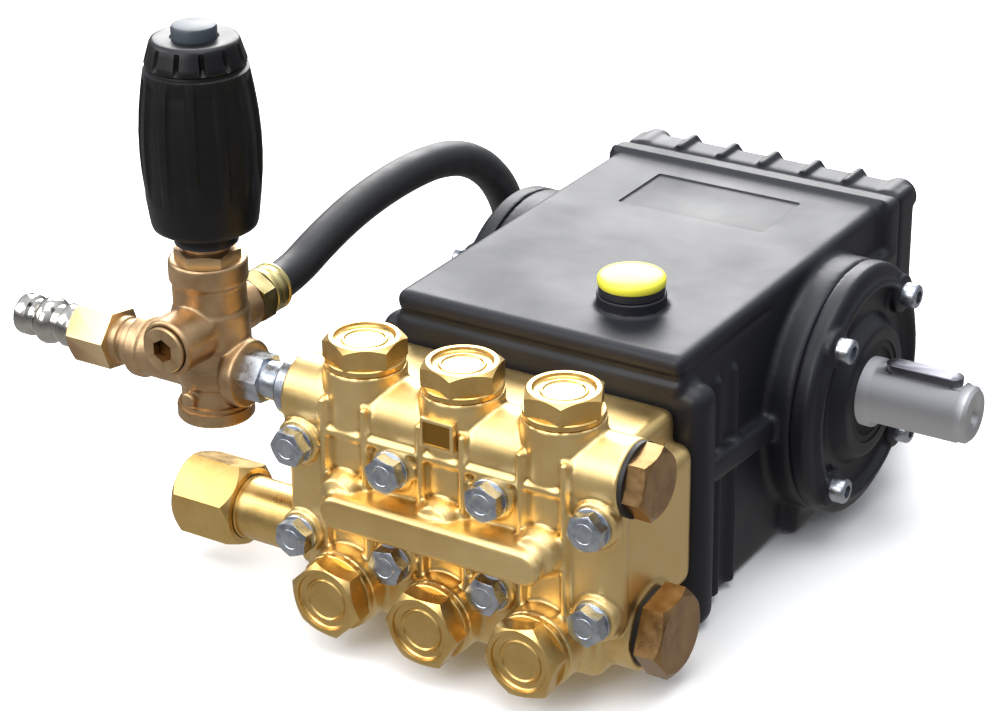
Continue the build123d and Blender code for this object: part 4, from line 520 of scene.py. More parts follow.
# --------------------------------------------------------------- sub-assemblies
@dataclass
class Crankcase:
    """Cast case with its covers, screws, sight glass and filler."""

    width: float = 124.0
    height: float = 112.5
    front: float = -91.0
    rear: float = 91.0
    flange_width: float = 142.0
    flange_height: float = 100.5
    flange_depth: float = 16.0
    rear_flange_width: float = 132.0
    rear_flange_depth: float = 13.5
    boss_radius: float = 51.0
    boss_face: float = 74.0
    cover_thickness: float = 12.0
    shaft: tuple[float, float] = (26.0, 57.0)
    screw_circle: float = 42.5
    filler: tuple[float, float] = (22.5, -57.5)
    neck_height: float = 5.5
    cap_top: float = 126.5
    cap_radius: float = 13.0
    cover_depth: float = 32.0
    gasket: float = 0.8
    cover_plate: float = 16.0
    rib_pitch: float = 19.5
    rib_rise: float = 2.2
    rear_screws: tuple[float, ...] = (8.0, 57.0, 106.0)

    def build(self) -> None:
        """Build and dress every piece of the case."""
        self.casting()
        self.rear_cover()
        for side, name in ((1, "drive_cover"), (-1, "blind_cover")):
            self.bearing_cover(side, name)
        self.screws()
        self.oil_cap()

    def casting(self) -> None:
        """Case with flanges, bosses, ribs, filler neck and label recess."""
        half, wide, y0, y1 = self.width / 2, self.flange_width / 2, self.front, self.rear
        shaft_y, shaft_z = self.shaft
        form = Form()
        form.box((-half, y0, 0), (half, y1, self.height), 3.5)
        form.box((-wide, y0, 0), (wide, y0 + self.flange_depth, self.flange_height), 7, 5)
        rear_half = self.rear_flange_width / 2
        form.box((-rear_half, y1 - self.rear_flange_depth, 0), (rear_half, y1, self.height + 1), 3.5)
        # worn lip along the front edge of the rear flange
        form.box((-rear_half + 2, y1 - self.rear_flange_depth, self.height - 3),
                 (rear_half - 2, y1 - self.rear_flange_depth + 2.6, self.height + 2.6), 1.1, 2)
        form.drum(Toward.RIGHT, (-self.boss_face, shaft_y, shaft_z), self.boss_radius, 2 * self.boss_face, 1.5, 128)
        # webs from the bosses to the rear flange and down to the base
        form.box((-half - 6, shaft_y - 30, 0), (half + 6, y1 - 4, 22), 3)
        form.box((-half - 5, shaft_y, shaft_z + 30), (half + 5, y1 - 4, shaft_z + 36), 2)
        # sloping stiffener and the uprights behind the front flange
        tilt = Matrix.Rotation(math.radians(-4), 4, "X")
        form.box((-wide + 3, y0 + 10, shaft_z - 3), (wide - 3, shaft_y - 34, shaft_z + 7), 2, tilt=tilt)
        for y in (27.0, 40.0):
            form.box((-half - 3, y0 + y - 2, 2), (half + 3, y0 + y + 2, self.height - 18), 1.2)
        form.drum(Toward.UP, (*self.filler, self.height - 2), 13.0, self.neck_height + 1.9, 0.5)
        case = rough_piece("crankcase_casting", form)
        # lip groove along the front and both sides, relief under the base
        cuts = Form()
        cuts.box((-80, y0 - 4, self.flange_height + 1), (80, y0 + 2.2, self.height - 7))
        for side in (-1, 1):
            low, high = sorted((side * (half - 1.2), side * (half + 9)))
            cuts.box((low, y0 - 4, self.height - 9), (high, shaft_y - 44, self.height - 6))
        cuts.box((-36, y0 + 20, -2), (36, y1 - 20, 3))
        carve(case, cuts)
        fuse(case, 1.25, 5)
        # recess for a label, crisp because it is machined
        carve(case, Form().box((-33, 29, self.height - 0.8), (33, 65, self.height + 4), 1.5), crossing=False)
        carve(case, Form().drum(Toward.UP, (*self.filler, self.height - 6), 9.2, 20), crossing=False)
        collar = rough_piece("filler_collar", Form().turned(Toward.UP, (*self.filler, self.height - 0.5), [
            (9.3, 0), (13.3, 0), (13.3, self.neck_height), (12.8, self.neck_height + 0.45),
            (9.3, self.neck_height + 0.45), (9.3, 0)], 80))
        hand_over(collar, POWDER_COAT, "pump", ())
        hand_over(case, POWDER_COAT, "pump", ("crankcase",))

    def rear_cover(self) -> None:
        """Ribbed cover over the crank chamber, with its screw bosses."""
        y0 = self.rear + self.gasket
        half, crown = self.rear_flange_width / 2 - 1.5, y0 + self.cover_depth
        form = Form()
        plate = self.cover_plate
        form.box((-half, y0, 0), (half, y0 + plate, self.height), 3)
        middle = (0, y0 + plate - 2, self.height / 2)
        deep = self.cover_depth - plate + 2
        part = bmesh.new()
        bmesh.ops.create_cube(part, size=1.0)
        tops = [v for v in part.verts if v.co.z > 0]
        bmesh.ops.scale(part, vec=(2 * half - 4, self.height - 4, deep), verts=part.verts)
        bmesh.ops.scale(part, vec=(0.81, 0.78, 1), verts=tops)
        bmesh.ops.translate(part, verts=part.verts, vec=(0, 0, deep / 2))
        bmesh.ops.bevel(part, geom=part.edges[:], offset=5, segments=4, profile=0.5, affect="EDGES", material=-1)
        form.take(part, Toward.REAR.seat(middle))
        rib = [(y0 + 2, 1.5), (y0 + plate, 1), (crown + 1.2, 15), (crown + 1.2, self.height - 15),
               (y0 + plate, self.height + self.rib_rise), (y0 + 1, self.height + self.rib_rise)]
        for count in range(-2, 3):
            part = bmesh.new()
            ring = [part.verts.new((count * self.rib_pitch - 1.5, y, z)) for y, z in rib]
            face = part.faces.new(ring)
            raised = bmesh.ops.extrude_face_region(part, geom=[face])
            bmesh.ops.translate(part, verts=[v for v in raised["geom"] if isinstance(v, bmesh.types.BMVert)],
                                vec=(3, 0, 0))
            form.take(part)
        for x in (-57, 57):
            for z in self.rear_screws:
                form.drum(Toward.REAR, (x, y0, z), 7.4, plate + 3, 2)
        for z, radius, length in ((51, 18, 4), (17, 10.5, 2)):
            form.drum(Toward.REAR, (0, crown - 14, z), radius, 14 + length - 0.2, 1)
        cover = rough_piece("rear_cover_casting", form)
        fuse(cover, 1.0, 4)
        cuts = Form()
        for x in (-57, 57):
            for z in self.rear_screws:
                cuts.drum(Toward.REAR, (x, y0 + 8, z), 5.6, 40)
        cuts.drum(Toward.REAR, (0, crown - 4, 51), 14.08, 30)
        carve(cover, cuts, crossing=False)
        hand_over(cover, POWDER_COAT, "pump", ("rear_cover",))
        glass = copy_of("sight_glass", "sight_glass_lens")
        hand_over(glass, CLEAR_WINDOW, "pump", ("sight_glass",))
        plug = copy_of("drain_plug", "drain_plug_head")
        hand_over(plug, ZINC_PLATE, "pump", ("drain_plug",))
        gasket = copy_of("rear_cover_gasket", "rear_gasket_edge")
        hand_over(gasket, FIBRE, "pump", ("rear_cover_gasket",))

    def screw_places(self) -> list[tuple[float, float]]:
        """Y and Z of the four screws in a bearing cover."""
        y, z = self.shaft
        turns = [math.radians(a) for a in (45, 135, 225, 315)]
        return [(y + self.screw_circle * math.cos(t), z + self.screw_circle * math.sin(t)) for t in turns]

    def bearing_cover(self, side: int, node: str) -> None:
        """Dished cover over one main bearing, with lugs under its screws."""
        toward = Toward.RIGHT if side > 0 else Toward.LEFT
        y, z = self.shaft
        base = (side * self.boss_face, y, z)
        rim, depth = self.boss_radius, self.cover_thickness
        hub = 27.0 if side > 0 else 24.0
        form = Form().turned(toward, base, [(0, 0), (rim, 0), (rim, depth - 6), (rim - 1.5, depth - 4.5),
                                            (rim - 5, depth - 3.6), (rim - 6.5, depth - 2), (rim - 9, depth - 2),
                                            (rim - 11, depth - 5.5), (hub + 4, depth - 6), (hub, depth - 1),
                                            (hub - 1, depth), (0, depth)], 128)
        for py, pz in self.screw_places():
            form.drum(toward, (side * self.boss_face, py, pz), 8, depth - 2, 0.8)
            form.drum(toward, (side * self.boss_face, py, pz), 5.9, depth - 1.7, 0.2)
        cover = rough_piece(node + "_casting", form)
        fuse(cover, 0.75, 4)
        if side > 0:
            carve(cover, Form().drum(toward, (side * (self.boss_face - 4), y, z), 16, 40)
                  .drum(toward, (side * (self.boss_face + 4), y, z), 21.02, 30))
        hand_over(cover, POWDER_COAT, "pump", (node,))

    def screws(self) -> None:
        """Socket screws of the bearing covers and the rear cover."""
        head = rough_piece("screw", Form().turned(Toward.UP, (0, 0, 0), [
            (0, -1), (4.6, -1), (4.6, 0), (5, 0.2), (5, 4.9), (4.6, 5.7), (4, 6), (0, 6)], 40))
        carve(head, Form().hexagon(Toward.UP, (0, 0, 3), 5, 6, soft=0))
        one = Form()
        one.mesh.from_mesh(head.data)
        bpy.data.objects.remove(head)
        face = self.boss_face + self.cover_thickness - 2
        places = [toward.seat((side * face, y, z)) for side, toward in ((1, Toward.RIGHT), (-1, Toward.LEFT))
                  for y, z in self.screw_places()]
        seat = self.rear + self.gasket + 8
        places += [Toward.REAR.seat((x, seat, z)) for x in (-57, 57) for z in self.rear_screws]
        screws = rough_piece("socket_screws", Form().repeat(one, places))
        hand_over(screws, ZINC_PLATE, "pump", ("cover_screws",))

    def oil_cap(self) -> None:
        """Yellow cap over a black neck, with its dipstick."""
        x, y = self.filler
        foot = self.height + self.neck_height
        top, r = self.cap_top - foot, self.cap_radius
        neck = rough_piece("oil_cap_neck", Form().turned(Toward.UP, (x, y, foot), [
            (0, -20.5), (2, -20.5), (2, -9), (8.8, -9), (8.8, 0), (r - 0.8, 0), (r - 0.4, 0.4), (r - 0.3, 3.6),
            (0, 3.6)], 64))
        hand_over(neck, MOULDED_NYLON, "filler_cap", ())
        crown = Form().turned(Toward.UP, (x, y, foot), [
            (0, 3.5), (r - 0.3, 3.5), (r, 3.9), (r, 6.0), (r - 0.5, 6.9), (r - 1.6, 7.4), (r - 4, 7.9),
            (r - 8, top - 0.2), (0, top)], 96)
        cap = rough_piece("oil_cap_crown", crown)
        hand_over(cap, YELLOW_ABS, "filler_cap", ("oil_cap",), crease=50)


@dataclass
class Manifold:
    """Forged brass head with its bolts, valve plugs and end plugs."""

    face: float = -154.0
    rear: float = -91.0
    pitch: float = 42.0
    cylinder_z: float = 57.0
    top: float = 94.0
    bottom: float = 7.0
    valve_y: float = -140.0
    gallery_z: float = 89.5
    inlet_z: float = 22.5
    suction_y: float = -125.5
    boss_top: float = 107.5
    boss_front: float = -161.8
    boss_radius: float = 15.5
    bolt_row: float = 37.8
    plug_af: float = 27.0
    plug_collar: float = 2.5
    plug_height: float = 8.0
    columns: tuple[float, ...] = (-42.0, 0.0, 42.0)

    def build(self) -> None:
        """Build and dress every piece of the head."""
        self.casting()
        self.bolts()
        self.valve_plugs()
        self.end_plugs()

    def bolt_places(self) -> list[tuple[float, float]]:
        """X and Z of the eight bolts."""
        return [(k * self.pitch, self.cylinder_z + s * self.bolt_row / 2)
                for k in (-1.5, -0.5, 0.5, 1.5) for s in (1, -1)]

    def casting(self) -> None:
        """Head forging: block, belt, bar, ribs, bosses and bolt pads."""
        f, z0 = self.face, self.cylinder_z
        form = Form()
        form.box((-61, f + 6, self.bottom), (61, self.rear, self.top), 5, 4)
        form.box((-69, f + 9, 24), (69, self.rear, 82), 6, 4)
        form.box((-71, f, 27), (71, f + 14, 87), 6.5, 4)
        form.box((-59, f, 11), (59, f + 14, 88), 5, 4)
        form.box((-61, -150.5, 74), (61, -126, 98), 4, 4)
        form.box((-51, f - 2.2, 82.6), (51, f + 4, 85.4), 1.0, 2)
        # central bar with rounded ends
        bar = Form().plate(Toward.FRONT, (0, f + 2, z0), self.slot_outline(94, 14), 15, 2.2)
        form.repeat(bar, [Matrix()])
        bar.mesh.free()
        for x in self.columns:
            form.drum(Toward.UP, (x, self.valve_y, 70), self.boss_radius, self.boss_top - 70, 0.8, 96)
            form.drum(Toward.FRONT, (x, self.face + 14, self.inlet_z), self.boss_radius,
                      self.face + 14 - self.boss_front, 0.8, 96)
            # ribs beside each cylinder, running up to the valve boss
            for side in (-1, 1):
                form.box((x + side * 9 - 1.4, f - 2.6, 30), (x + side * 9 + 1.4, f + 9, 97), 1.0, 2)
            # round shoulder of the cylinder above the bar
            form.drum(Toward.FRONT, (x, f + 4, z0 + 3.5), 9.5, 13, 5.5, 64)
        for radius, reach, y, z in ((14.5, 71.2, self.valve_y, self.gallery_z),
                                    (17.0, 70.0, self.suction_y, self.inlet_z)):
            form.drum(Toward.RIGHT, (-reach, y, z), radius, 2 * reach, 1.0, 96)
        for x, z in self.bolt_places():
            form.drum(Toward.FRONT, (x, f + 4, z), 9, 6.1, 0.9)
        head = rough_piece("manifold_forging", form)
        fuse(head, 0.85, 2)
        seats = Form()
        for x in self.columns:
            seats.drum(Toward.UP, (x, self.valve_y, self.boss_top - 6), 12, 20)
            seats.drum(Toward.FRONT, (x, self.boss_front + 6, self.inlet_z), 12, 20)
        carve(head, seats, crossing=False)
        hand_over(head, FORGED_BRASS, "pump", ("manifold",))
        emblem = rough_piece("blank_plate", Form().box((-7.5, f - 3.4, 89.5), (6.5, f - 0.5, 101), 0.5, 2))
        carve(emblem, Form().box((-6.2, f - 5, 90.8), (5.2, f - 2.9, 99.7), 0.3, 1))
        hand_over(emblem, FORGED_BRASS, "pump", ())

    @staticmethod
    def slot_outline(length: float, height: float, steps: int = 12) -> list[tuple[float, float]]:
        """Outline of a bar with half-round ends."""
        radius, reach = height / 2, (length - height) / 2
        turns = [math.pi * i / steps for i in range(steps + 1)]
        right = [(reach + radius * math.sin(t), -radius * math.cos(t)) for t in turns]
        return right + [(-x, -z) for x, z in right]

    def bolts(self) -> None:
        """Eight hexagon bolts with flat washers."""
        seat = self.face - 2
        washer = Form().turned(Toward.UP, (0, 0, 0), [(0, 0), (7.3, 0), (7.5, 0.3), (7.5, 1.2),
                                                      (7.2, 1.5), (0, 1.5)], 40)
        form = Form()
        for number, (x, z) in enumerate(self.bolt_places()):
            place = Toward.FRONT.seat((x, seat, z))
            form.repeat(washer, [place])
            turn = Matrix.Rotation(math.radians(30 + 23 * number), 4, "Z")
            head = hex_head(13, 5.5)
            form.repeat(head, [place @ Matrix.Translation((0, 0, 1.5)) @ turn])
            # raised ring that cold heading leaves on the head
            form.turned(Toward.FRONT, (x, seat - 6.9, z), [(0, 0), (4.4, 0), (4.2, 0.3), (3.6, 0.3),
                                                           (3.4, 0.12), (0, 0.12)], 32)
            head.mesh.free()
        bolts = rough_piece("hexagon_bolts", form)
        hand_over(bolts, ZINC_PLATE, "pump", ("manifold_bolts",))

    def valve_plugs(self) -> None:
        """Six hexagon plugs with a collar and a dished face."""
        height = self.plug_collar + self.plug_height
        one = Form().turned(Toward.UP, (0, 0, 0), [(0, -8), (11.9, -8), (11.9, 0), (14.6, 0), (15, 0.4), (15, 2.1),
                                                   (14.6, 2.5), (0, 2.5)], 80)
        head = hex_head(self.plug_af, self.plug_height)
        one.repeat(head, [Matrix.Translation((0, 0, self.plug_collar))])
        head.mesh.free()
        plug = rough_piece("plug", one)
        carve(plug, Form().turned(Toward.UP, (0, 0, 0), [
            (0, height - 1.6), (7.2, height - 1.6), (7.7, height - 1.0), (8.3, height - 1.0), (8.8, height - 1.6),
            (10.6, height - 1.5), (11.2, height - 1.1), (11.8, height + 1), (0, height + 1)], 72))
        one = Form()
        one.mesh.from_mesh(plug.data)
        bpy.data.objects.remove(plug)
        places = [(Toward.UP, (x, self.valve_y, self.boss_top), 4 + 11 * i) for i, x in enumerate(self.columns)]
        places += [(Toward.FRONT, (x, self.boss_front, self.inlet_z), 15 + 13 * i)
                   for i, x in enumerate(self.columns)]
        plugs = rough_piece("valve_plug_set", Form().repeat(one, [
            toward.seat(at) @ Matrix.Rotation(math.radians(degrees), 4, "Z") for toward, at, degrees in places]))
        hand_over(plugs, TURNED_BRASS, "pump", ("valve_plugs",), crease=30)

    def end_plugs(self) -> None:
        """Browned plugs and seal rings at the right ends of both galleries."""
        for name, af, x, y, z, turn, height, r, ring in (
                ("discharge_end_plug", 24.0, 71.2, self.valve_y, self.gallery_z, 12, 8.0, 14.0, 1.5),
                ("suction_end_plug", 30.0, 70.0, self.suction_y, self.inlet_z, 8, 10.0, 15.0, 2.0)):
            form = Form().turned(Toward.RIGHT, (x, y, z), [(0, -4), (8, -4), (8, ring), (0, ring)], 48)
            head = hex_head(af, height)
            form.repeat(head, [Toward.RIGHT.seat((x + ring, y, z)) @ Matrix.Rotation(math.radians(turn), 4, "Z")])
            head.mesh.free()
            plug = rough_piece(name + "_head", form)
            hand_over(plug, BROWNED_BRASS, "pump", (name,), crease=30)
        rings = copy_of("end_plug_seals", "end_seal_rings")
        hand_over(rings, NITRILE, "pump", ("end_plug_seals",))


@dataclass
class Plumbing:
    """Inlet pipe and nut, outlet nipple, adapter, quick nipple and bypass hose."""

    suction: tuple[float, float] = (-125.5, 22.5)
    outlet: tuple[float, float] = (-140.0, 89.5)
    unloader_x: float = -112.0
    port_z: float = 107.0
    hose_bore: float = 15.0
    route: tuple[Point, ...] = field(default_factory=lambda: (
        (-112.0, -101.0, 107.0), (-112.0, -89.0, 107.0), (-111.5, -68.0, 114.5), (-110.5, -44.0, 120.5),
        (-109.0, -18.0, 123.5), (-107.5, 8.0, 123.0), (-106.5, 30.0, 117.0), (-105.5, 48.0, 104.5),
        (-105.0, 60.0, 88.0), (-105.0, 66.0, 68.0), (-105.0, 64.0, 48.0), (-105.0, 54.0, 30.0),
        (-105.0, 38.0, 17.0), (-105.0, 17.0, 10.5), (-104.0, -8.0, 9.5), (-101.0, -33.0, 12.0),
        (-95.5, -57.0, 18.0), (-90.0, -79.0, 22.5), (-90.0, -96.0, 22.5)))

    def build(self) -> None:
        """Build and dress every pipe piece and the hose."""
        self.hose()
        self.inlet()
        self.outlet_side()
        self.bypass()

    def hose(self) -> None:
        """Bypass hose from the unloader's rear arm to the inlet pipe."""
        curve = bpy.data.curves.new("bypass_hose_run", "CURVE")
        curve.dimensions = "3D"
        curve.bevel_depth = self.hose_bore / 2 * MM
        curve.bevel_resolution = 8
        curve.resolution_u = 24
        curve.use_fill_caps = True
        line = curve.splines.new("NURBS")
        line.points.add(len(self.route) - 1)
        for point, place in zip(line.points, self.route):
            point.co = (*(c * MM for c in place), 1)
        line.order_u = 3
        line.use_endpoint_u = True
        curve.materials.append(HOSE_COVER.make())
        hose = bpy.data.objects.new("bypass_hose_run", curve)
        bpy.context.scene.collection.objects.link(hose)
        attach(hose, "pump")
        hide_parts("bypass_hose")
        LOG.info("bypass_hose_run: a cord on pump")

    def inlet(self) -> None:
        """Turned inlet pipe with its return port, and the large swivel nut."""
        y, z = self.suction
        form = Form().turned(Toward.LEFT, (-70, y, z), [
            (0, -4), (10.4, -4), (10.4, 0), (14.2, 0), (14.5, 0.4), (14.5, 5.5), (13.6, 6.2), (12.5, 6.6), (12.5, 38),
            (12.9, 38.4), (12.9, 54.2), (12.1, 55), (8.2, 55), (8, 30), (0, 30)], 96)
        form.drum(Toward.REAR, (-90, y, z), 8.5, 14.5, 0.6)
        form.turned(Toward.REAR, (-90, y + 12, z), [(0, 0), (7.4, 0), (7.4, 3), (9.4, 4.2),
                                                    (9.4, 17.3), (0, 17.3)], 64)
        pipe = rough_piece("inlet_pipe_body", form)
        hand_over(pipe, TURNED_BRASS, "pump", ("inlet_pipe",), crease=30)
        nut = rough_piece("swivel_nut", Form().hexagon(Toward.LEFT, (-109, y, z), 31, 28, 20, 0))
        flat, corner = 15.5, 31 / math.sqrt(3)
        carve(nut, Form().turned(Toward.LEFT, (-109, y, z), [
            (0, 0), (flat - 0.2, 0), (corner + 0.3, 3.2), (corner + 0.3, 24.8),
            (flat - 0.2, 28), (0, 28)], 96), "INTERSECT")
        carve(nut, Form().turned(Toward.LEFT, (-109, y, z), [
            (0, -1), (13.2, -1), (13.2, 16), (13.6, 16), (13.6, 26.5), (14.6, 28.2), (0, 28.2)], 80))
        hand_over(nut, TURNED_BRASS, "swivel_nut", ("inlet_nut",), crease=30)

    def outlet_side(self) -> None:
        """Zinc nipple to the head, brass adapter and the quick nipple."""
        y, z = self.outlet
        form = Form().turned(Toward.LEFT, (-71.2, y, z), [
            (0, -3), (8, -3), (8, 0), (11, 0), (11, 5), (10.2, 6), (7.5, 6.6), (7.3, 9), (7.5, 9.6),
            (7.5, 16), (0, 16)], 64)
        head = hex_head(17, 9.9)
        form.repeat(head, [Toward.LEFT.seat((-86.1, y, z)) @ Matrix.Rotation(math.radians(10), 4, "Z")])
        head.mesh.free()
        nipple = rough_piece("outlet_nipple_hex", form)
        hand_over(nipple, ZINC_PLATE, "pump", ("outlet_nipple",), crease=30)
        form = Form().turned(Toward.LEFT, (-147, y, z), [
            (0, -3), (7.4, -3), (7.4, 0), (9.2, 0), (9.5, 0.4), (9.5, 3.2), (8.8, 3.8), (8.8, 5.6), (9.5, 6.2),
            (9.5, 9.6), (0, 9.6)], 64)
        head = hex_head(22, 18.5, 1.6)
        form.repeat(head, [Toward.LEFT.seat((-156.5, y, z)) @ Matrix.Rotation(math.radians(10), 4, "Z")])
        head.mesh.free()
        adapter = rough_piece("outlet_adapter_hex", form)
        hand_over(adapter, BRONZED_BRASS, "pump", ("outlet_adapter",), crease=30)
        quick = rough_piece("quick_nipple_plug", Form().turned(Toward.LEFT, (-175, y, z), [
            (0, -3), (6.4, -3), (6.4, 0), (8.3, 0), (8.6, 0.4), (8.6, 7), (8.3, 7.6), (7.2, 8.6), (7.1, 11.6),
            (8.2, 12.6), (9.1, 14), (9.5, 15.7), (9.3, 17.4), (8.5, 18.8), (7.3, 19.8), (7.0, 20.8), (7.0, 23),
            (7.5, 23.5), (8.1, 24), (8.2, 24.6), (8.2, 28.6), (7.9, 29.4), (7.2, 30), (4.4, 30), (4, 29.5),
            (4, 12), (0, 12)], 80))
        hand_over(quick, NICKEL, "pump", ("quick_nipple",), crease=40)

    def bypass(self) -> None:
        """Plated hose fitting with its pressed ferrule."""
        form = Form().turned(Toward.REAR, (self.unloader_x, -111.5, self.port_z), [
            (0, 0), (7.2, 0), (7.4, 1.2), (9.3, 1.4), (9.6, 1.9), (9.6, 3.2), (9.1, 3.9), (9.1, 5.1), (9.5, 5.8),
            (9.5, 7), (9.1, 7.7), (9.1, 8.9), (9.6, 9.5), (9.6, 10.2), (9.2, 10.5), (7.6, 10.5), (0, 10.5)], 72)
        form.turned(Toward.REAR, (self.unloader_x, -122, self.port_z), [(0, 0), (6.4, 0), (6.4, 4), (0, 4)], 40)
        head = hex_head(19, 8)
        form.repeat(head, [Toward.REAR.seat((self.unloader_x, -119, self.port_z))])
        head.mesh.free()
        fitting = rough_piece("bypass_ferrule", form)
        hand_over(fitting, YELLOW_ZINC, "pump", ("bypass_fitting",), crease=30)


@dataclass
class Unloader:
    """Unloader valve with its forged body, plugs, adjusting knob and stem."""

    x: float = -112.0
    y: float = -140.0
    gallery_z: float = 89.5
    port_z: float = 107.0
    barrel: float = 14.0
    barrel_top: float = 134.0
    knob_foot: float = 143.6
    knob_top: float = 222.0
    flutes: int = 12

    def build(self) -> None:
        """Build and dress every piece of the valve."""
        self.body()
        self.plugs()
        self.knob()

    def body(self) -> None:
        """Forged body with an upright barrel and four arms."""
        x, y = self.x, self.y
        form = Form()
        form.drum(Toward.UP, (x, y, 84), self.barrel, 50, 0.8, 96)
        form.drum(Toward.UP, (x, y, 74.5), 12.8, 12, 0.4, 96)
        form.drum(Toward.UP, (x, y, 82), 14.4, 14, 5, 96)
        form.drum(Toward.FRONT, (x - 1, y - 8, 80.5), 3, 8.4, 0.6)
        form.drum(Toward.UP, (x, y, 125), 15, 9, 1.0, 96)
        form.drum(Toward.UP, (x, y, 97), 14.9, 20, 4, 96)
        form.drum(Toward.LEFT, (-96, y, self.gallery_z), 11, 51, 0.8)
        form.drum(Toward.LEFT, (-94.5, y, self.gallery_z), 13.2, 6.5, 1)
        form.drum(Toward.LEFT, (-141, y, self.gallery_z), 12.2, 6, 1)
        form.drum(Toward.FRONT, (x, y, self.port_z), 11, 28, 0.8)
        form.drum(Toward.FRONT, (x, -164, self.port_z), 11.0, 4, 0.8)
        form.drum(Toward.REAR, (x, y, self.port_z), 10, 21, 0.8)
        form.drum(Toward.FRONT, (x - 19, y + 4, self.port_z - 5), 4.5, 14, 1)
        body = rough_piece("unloader_forging", form)
        fuse(body, 0.6, 5)
        carve(body, Form().drum(Toward.FRONT, (x, -166.5, self.port_z), 9.4, 10)
              .drum(Toward.UP, (x, y, 128), 8.2, 10))
        hand_over(body, BRONZED_BRASS, "pump", ("unloader_body",))

    def plugs(self) -> None:
        """Bottom cap, front plug with its socket, and the gland nut."""
        x, y = self.x, self.y
        form = Form().turned(Toward.DOWN, (x, y, 76), [(0, 0), (13.9, 0), (13.9, 1.5), (14.8, 1.7), (14.8, 6),
                                                       (14.2, 6.8), (13.4, 7), (0, 7)], 80)
        form.turned(Toward.FRONT, (x, -160, self.port_z), [(0, 0), (7, 0), (7, 6.6), (8.8, 7), (9, 9.2),
                                                           (8.6, 10), (0, 10)], 64)
        plugs = rough_piece("unloader_plug_pair", form)
        carve(plugs, Form().hexagon(Toward.FRONT, (x, -164, self.port_z), 8, 8, soft=0)
              .hexagon(Toward.DOWN, (x, y, 72), 10, 8, soft=0))
        hand_over(plugs, BRONZED_BRASS, "pump", ("unloader_plugs",), crease=30)
        form = Form().turned(Toward.UP, (x, y, 130), [(0, 0), (7.9, 0), (7.9, 4), (7.9, 8), (9, 8.2), (9, 19.6),
                                                      (8.4, 20), (0, 20)], 64)
        head = hex_head(22, 4, 1)
        form.repeat(head, [Toward.UP.seat((x, y, self.barrel_top))])
        head.mesh.free()
        nut = rough_piece("gland_nut", form)
        hand_over(nut, BRONZED_BRASS, "pump", ("unloader_nut",), crease=30)

    def knob(self) -> None:
        """Black adjusting knob with grips along its belly, and its button."""
        foot, top = self.knob_foot, self.knob_top
        rise = top - foot
        outline = [(9.6, -3), (12, -3), (12, 3.2), (18.4, 3.2), (19.5, 3.9), (20, 5.4)]
        belly = [(20.4, 8), (21.4, 16), (22.3, 25), (22.6, 32), (22.5, 40), (21.9, 48), (20.9, 56), (19.9, 62)]
        outline += belly + [(19.4, 64.6), (18.3, 65.2), (18.1, 66), (18.7, 66.8), (18.8, 67.6), (16.6, rise - 3.6),
                            (16.0, rise - 2.6), (14.8, rise - 2.2), (9, rise - 2.2), (8.8, rise - 3),
                            (5, rise - 3), (5, rise - 12),
                            (9.6, rise - 14), (9.6, -3)]
        shell = Form()
        shell.turned(Toward.UP, (0, 0, 0), self.refined(outline), 192)
        for vert in shell.mesh.verts:
            self.press_grips(vert, rise)
        bmesh.ops.translate(shell.mesh, verts=shell.mesh.verts, vec=(self.x, self.y, foot))
        knob = rough_piece("adjuster_grip", shell)
        hand_over(knob, MOULDED_NYLON, "adjuster_knob", ("unloader_knob",), crease=45)
        button = rough_piece("adjuster_button", Form().turned(Toward.UP, (self.x, self.y, top), [
            (0, -7), (4.9, -7), (4.9, -2.9), (8.4, -2.9), (8.4, 1.5), (8.0, 2.3), (7.2, 2.6), (0, 2.5)], 64))
        hand_over(button, BUTTON_NYLON, "adjuster_knob", ("knob_button",))

    @staticmethod
    def refined(outline: list[tuple[float, float]], step: float = 2.0) -> list[tuple[float, float]]:
        """Divide the long runs of an outline so that grips can be pressed into it."""
        fine = [outline[0]]
        for (r0, h0), (r1, h1) in zip(outline, outline[1:]):
            parts = max(1, round(math.hypot(r1 - r0, h1 - h0) / step))
            fine += [(r0 + (r1 - r0) * i / parts, h0 + (h1 - h0) * i / parts) for i in range(1, parts + 1)]
        return fine

    def press_grips(self, vert: bmesh.types.BMVert, rise: float) -> None:
        """Move one vertex of the knob inwards where a grip or a notch runs."""
        radius = math.hypot(vert.co.x, vert.co.y)
        turn = math.atan2(vert.co.y, vert.co.x) / math.tau
        if radius < 17:
            return
        height = vert.co.z
        share = (turn * self.flutes) % 1
        groove = min(1.0, max(0.0, (0.38 - abs(share - 0.5)) / 0.09))
        groove = groove * groove * (3 - 2 * groove)
        along = min(1.0, max(0.0, (height - 16) / 12)) * min(1.0, max(0.0, (63 - height) / 3))
        depth = 1.2 * groove * along
        if height > 67:
            notch = max(0.0, 1 - abs((turn * 12) % 1 - 0.5) / 0.1)
            depth = 1.6 * min(1.0, 2 * notch) * min(1.0, (rise - height) / 3)
        if depth > 0:
            vert.co.x *= (radius - depth) / radius
            vert.co.y *= (radius - depth) / radius


@dataclass
class Drive:
    """Crankshaft end with its key and seal."""

    def build(self) -> None:
        """Dress the shaft, the key and the lip seal."""
        for node, name, finish, body, slot in (
                ("crankshaft", "crankshaft_ground", GROUND_STEEL, "crank", "ground_steel"),
                ("shaft_key", "shaft_key_drawn", KEY_STEEL, "crank", "key_steel"),
                ("shaft_seal", "shaft_lip_seal", NITRILE, "pump", "seal_rubber")):
            piece = copy_of(node, name)
            hand_over(piece, finish, body, (node,), crease=25)


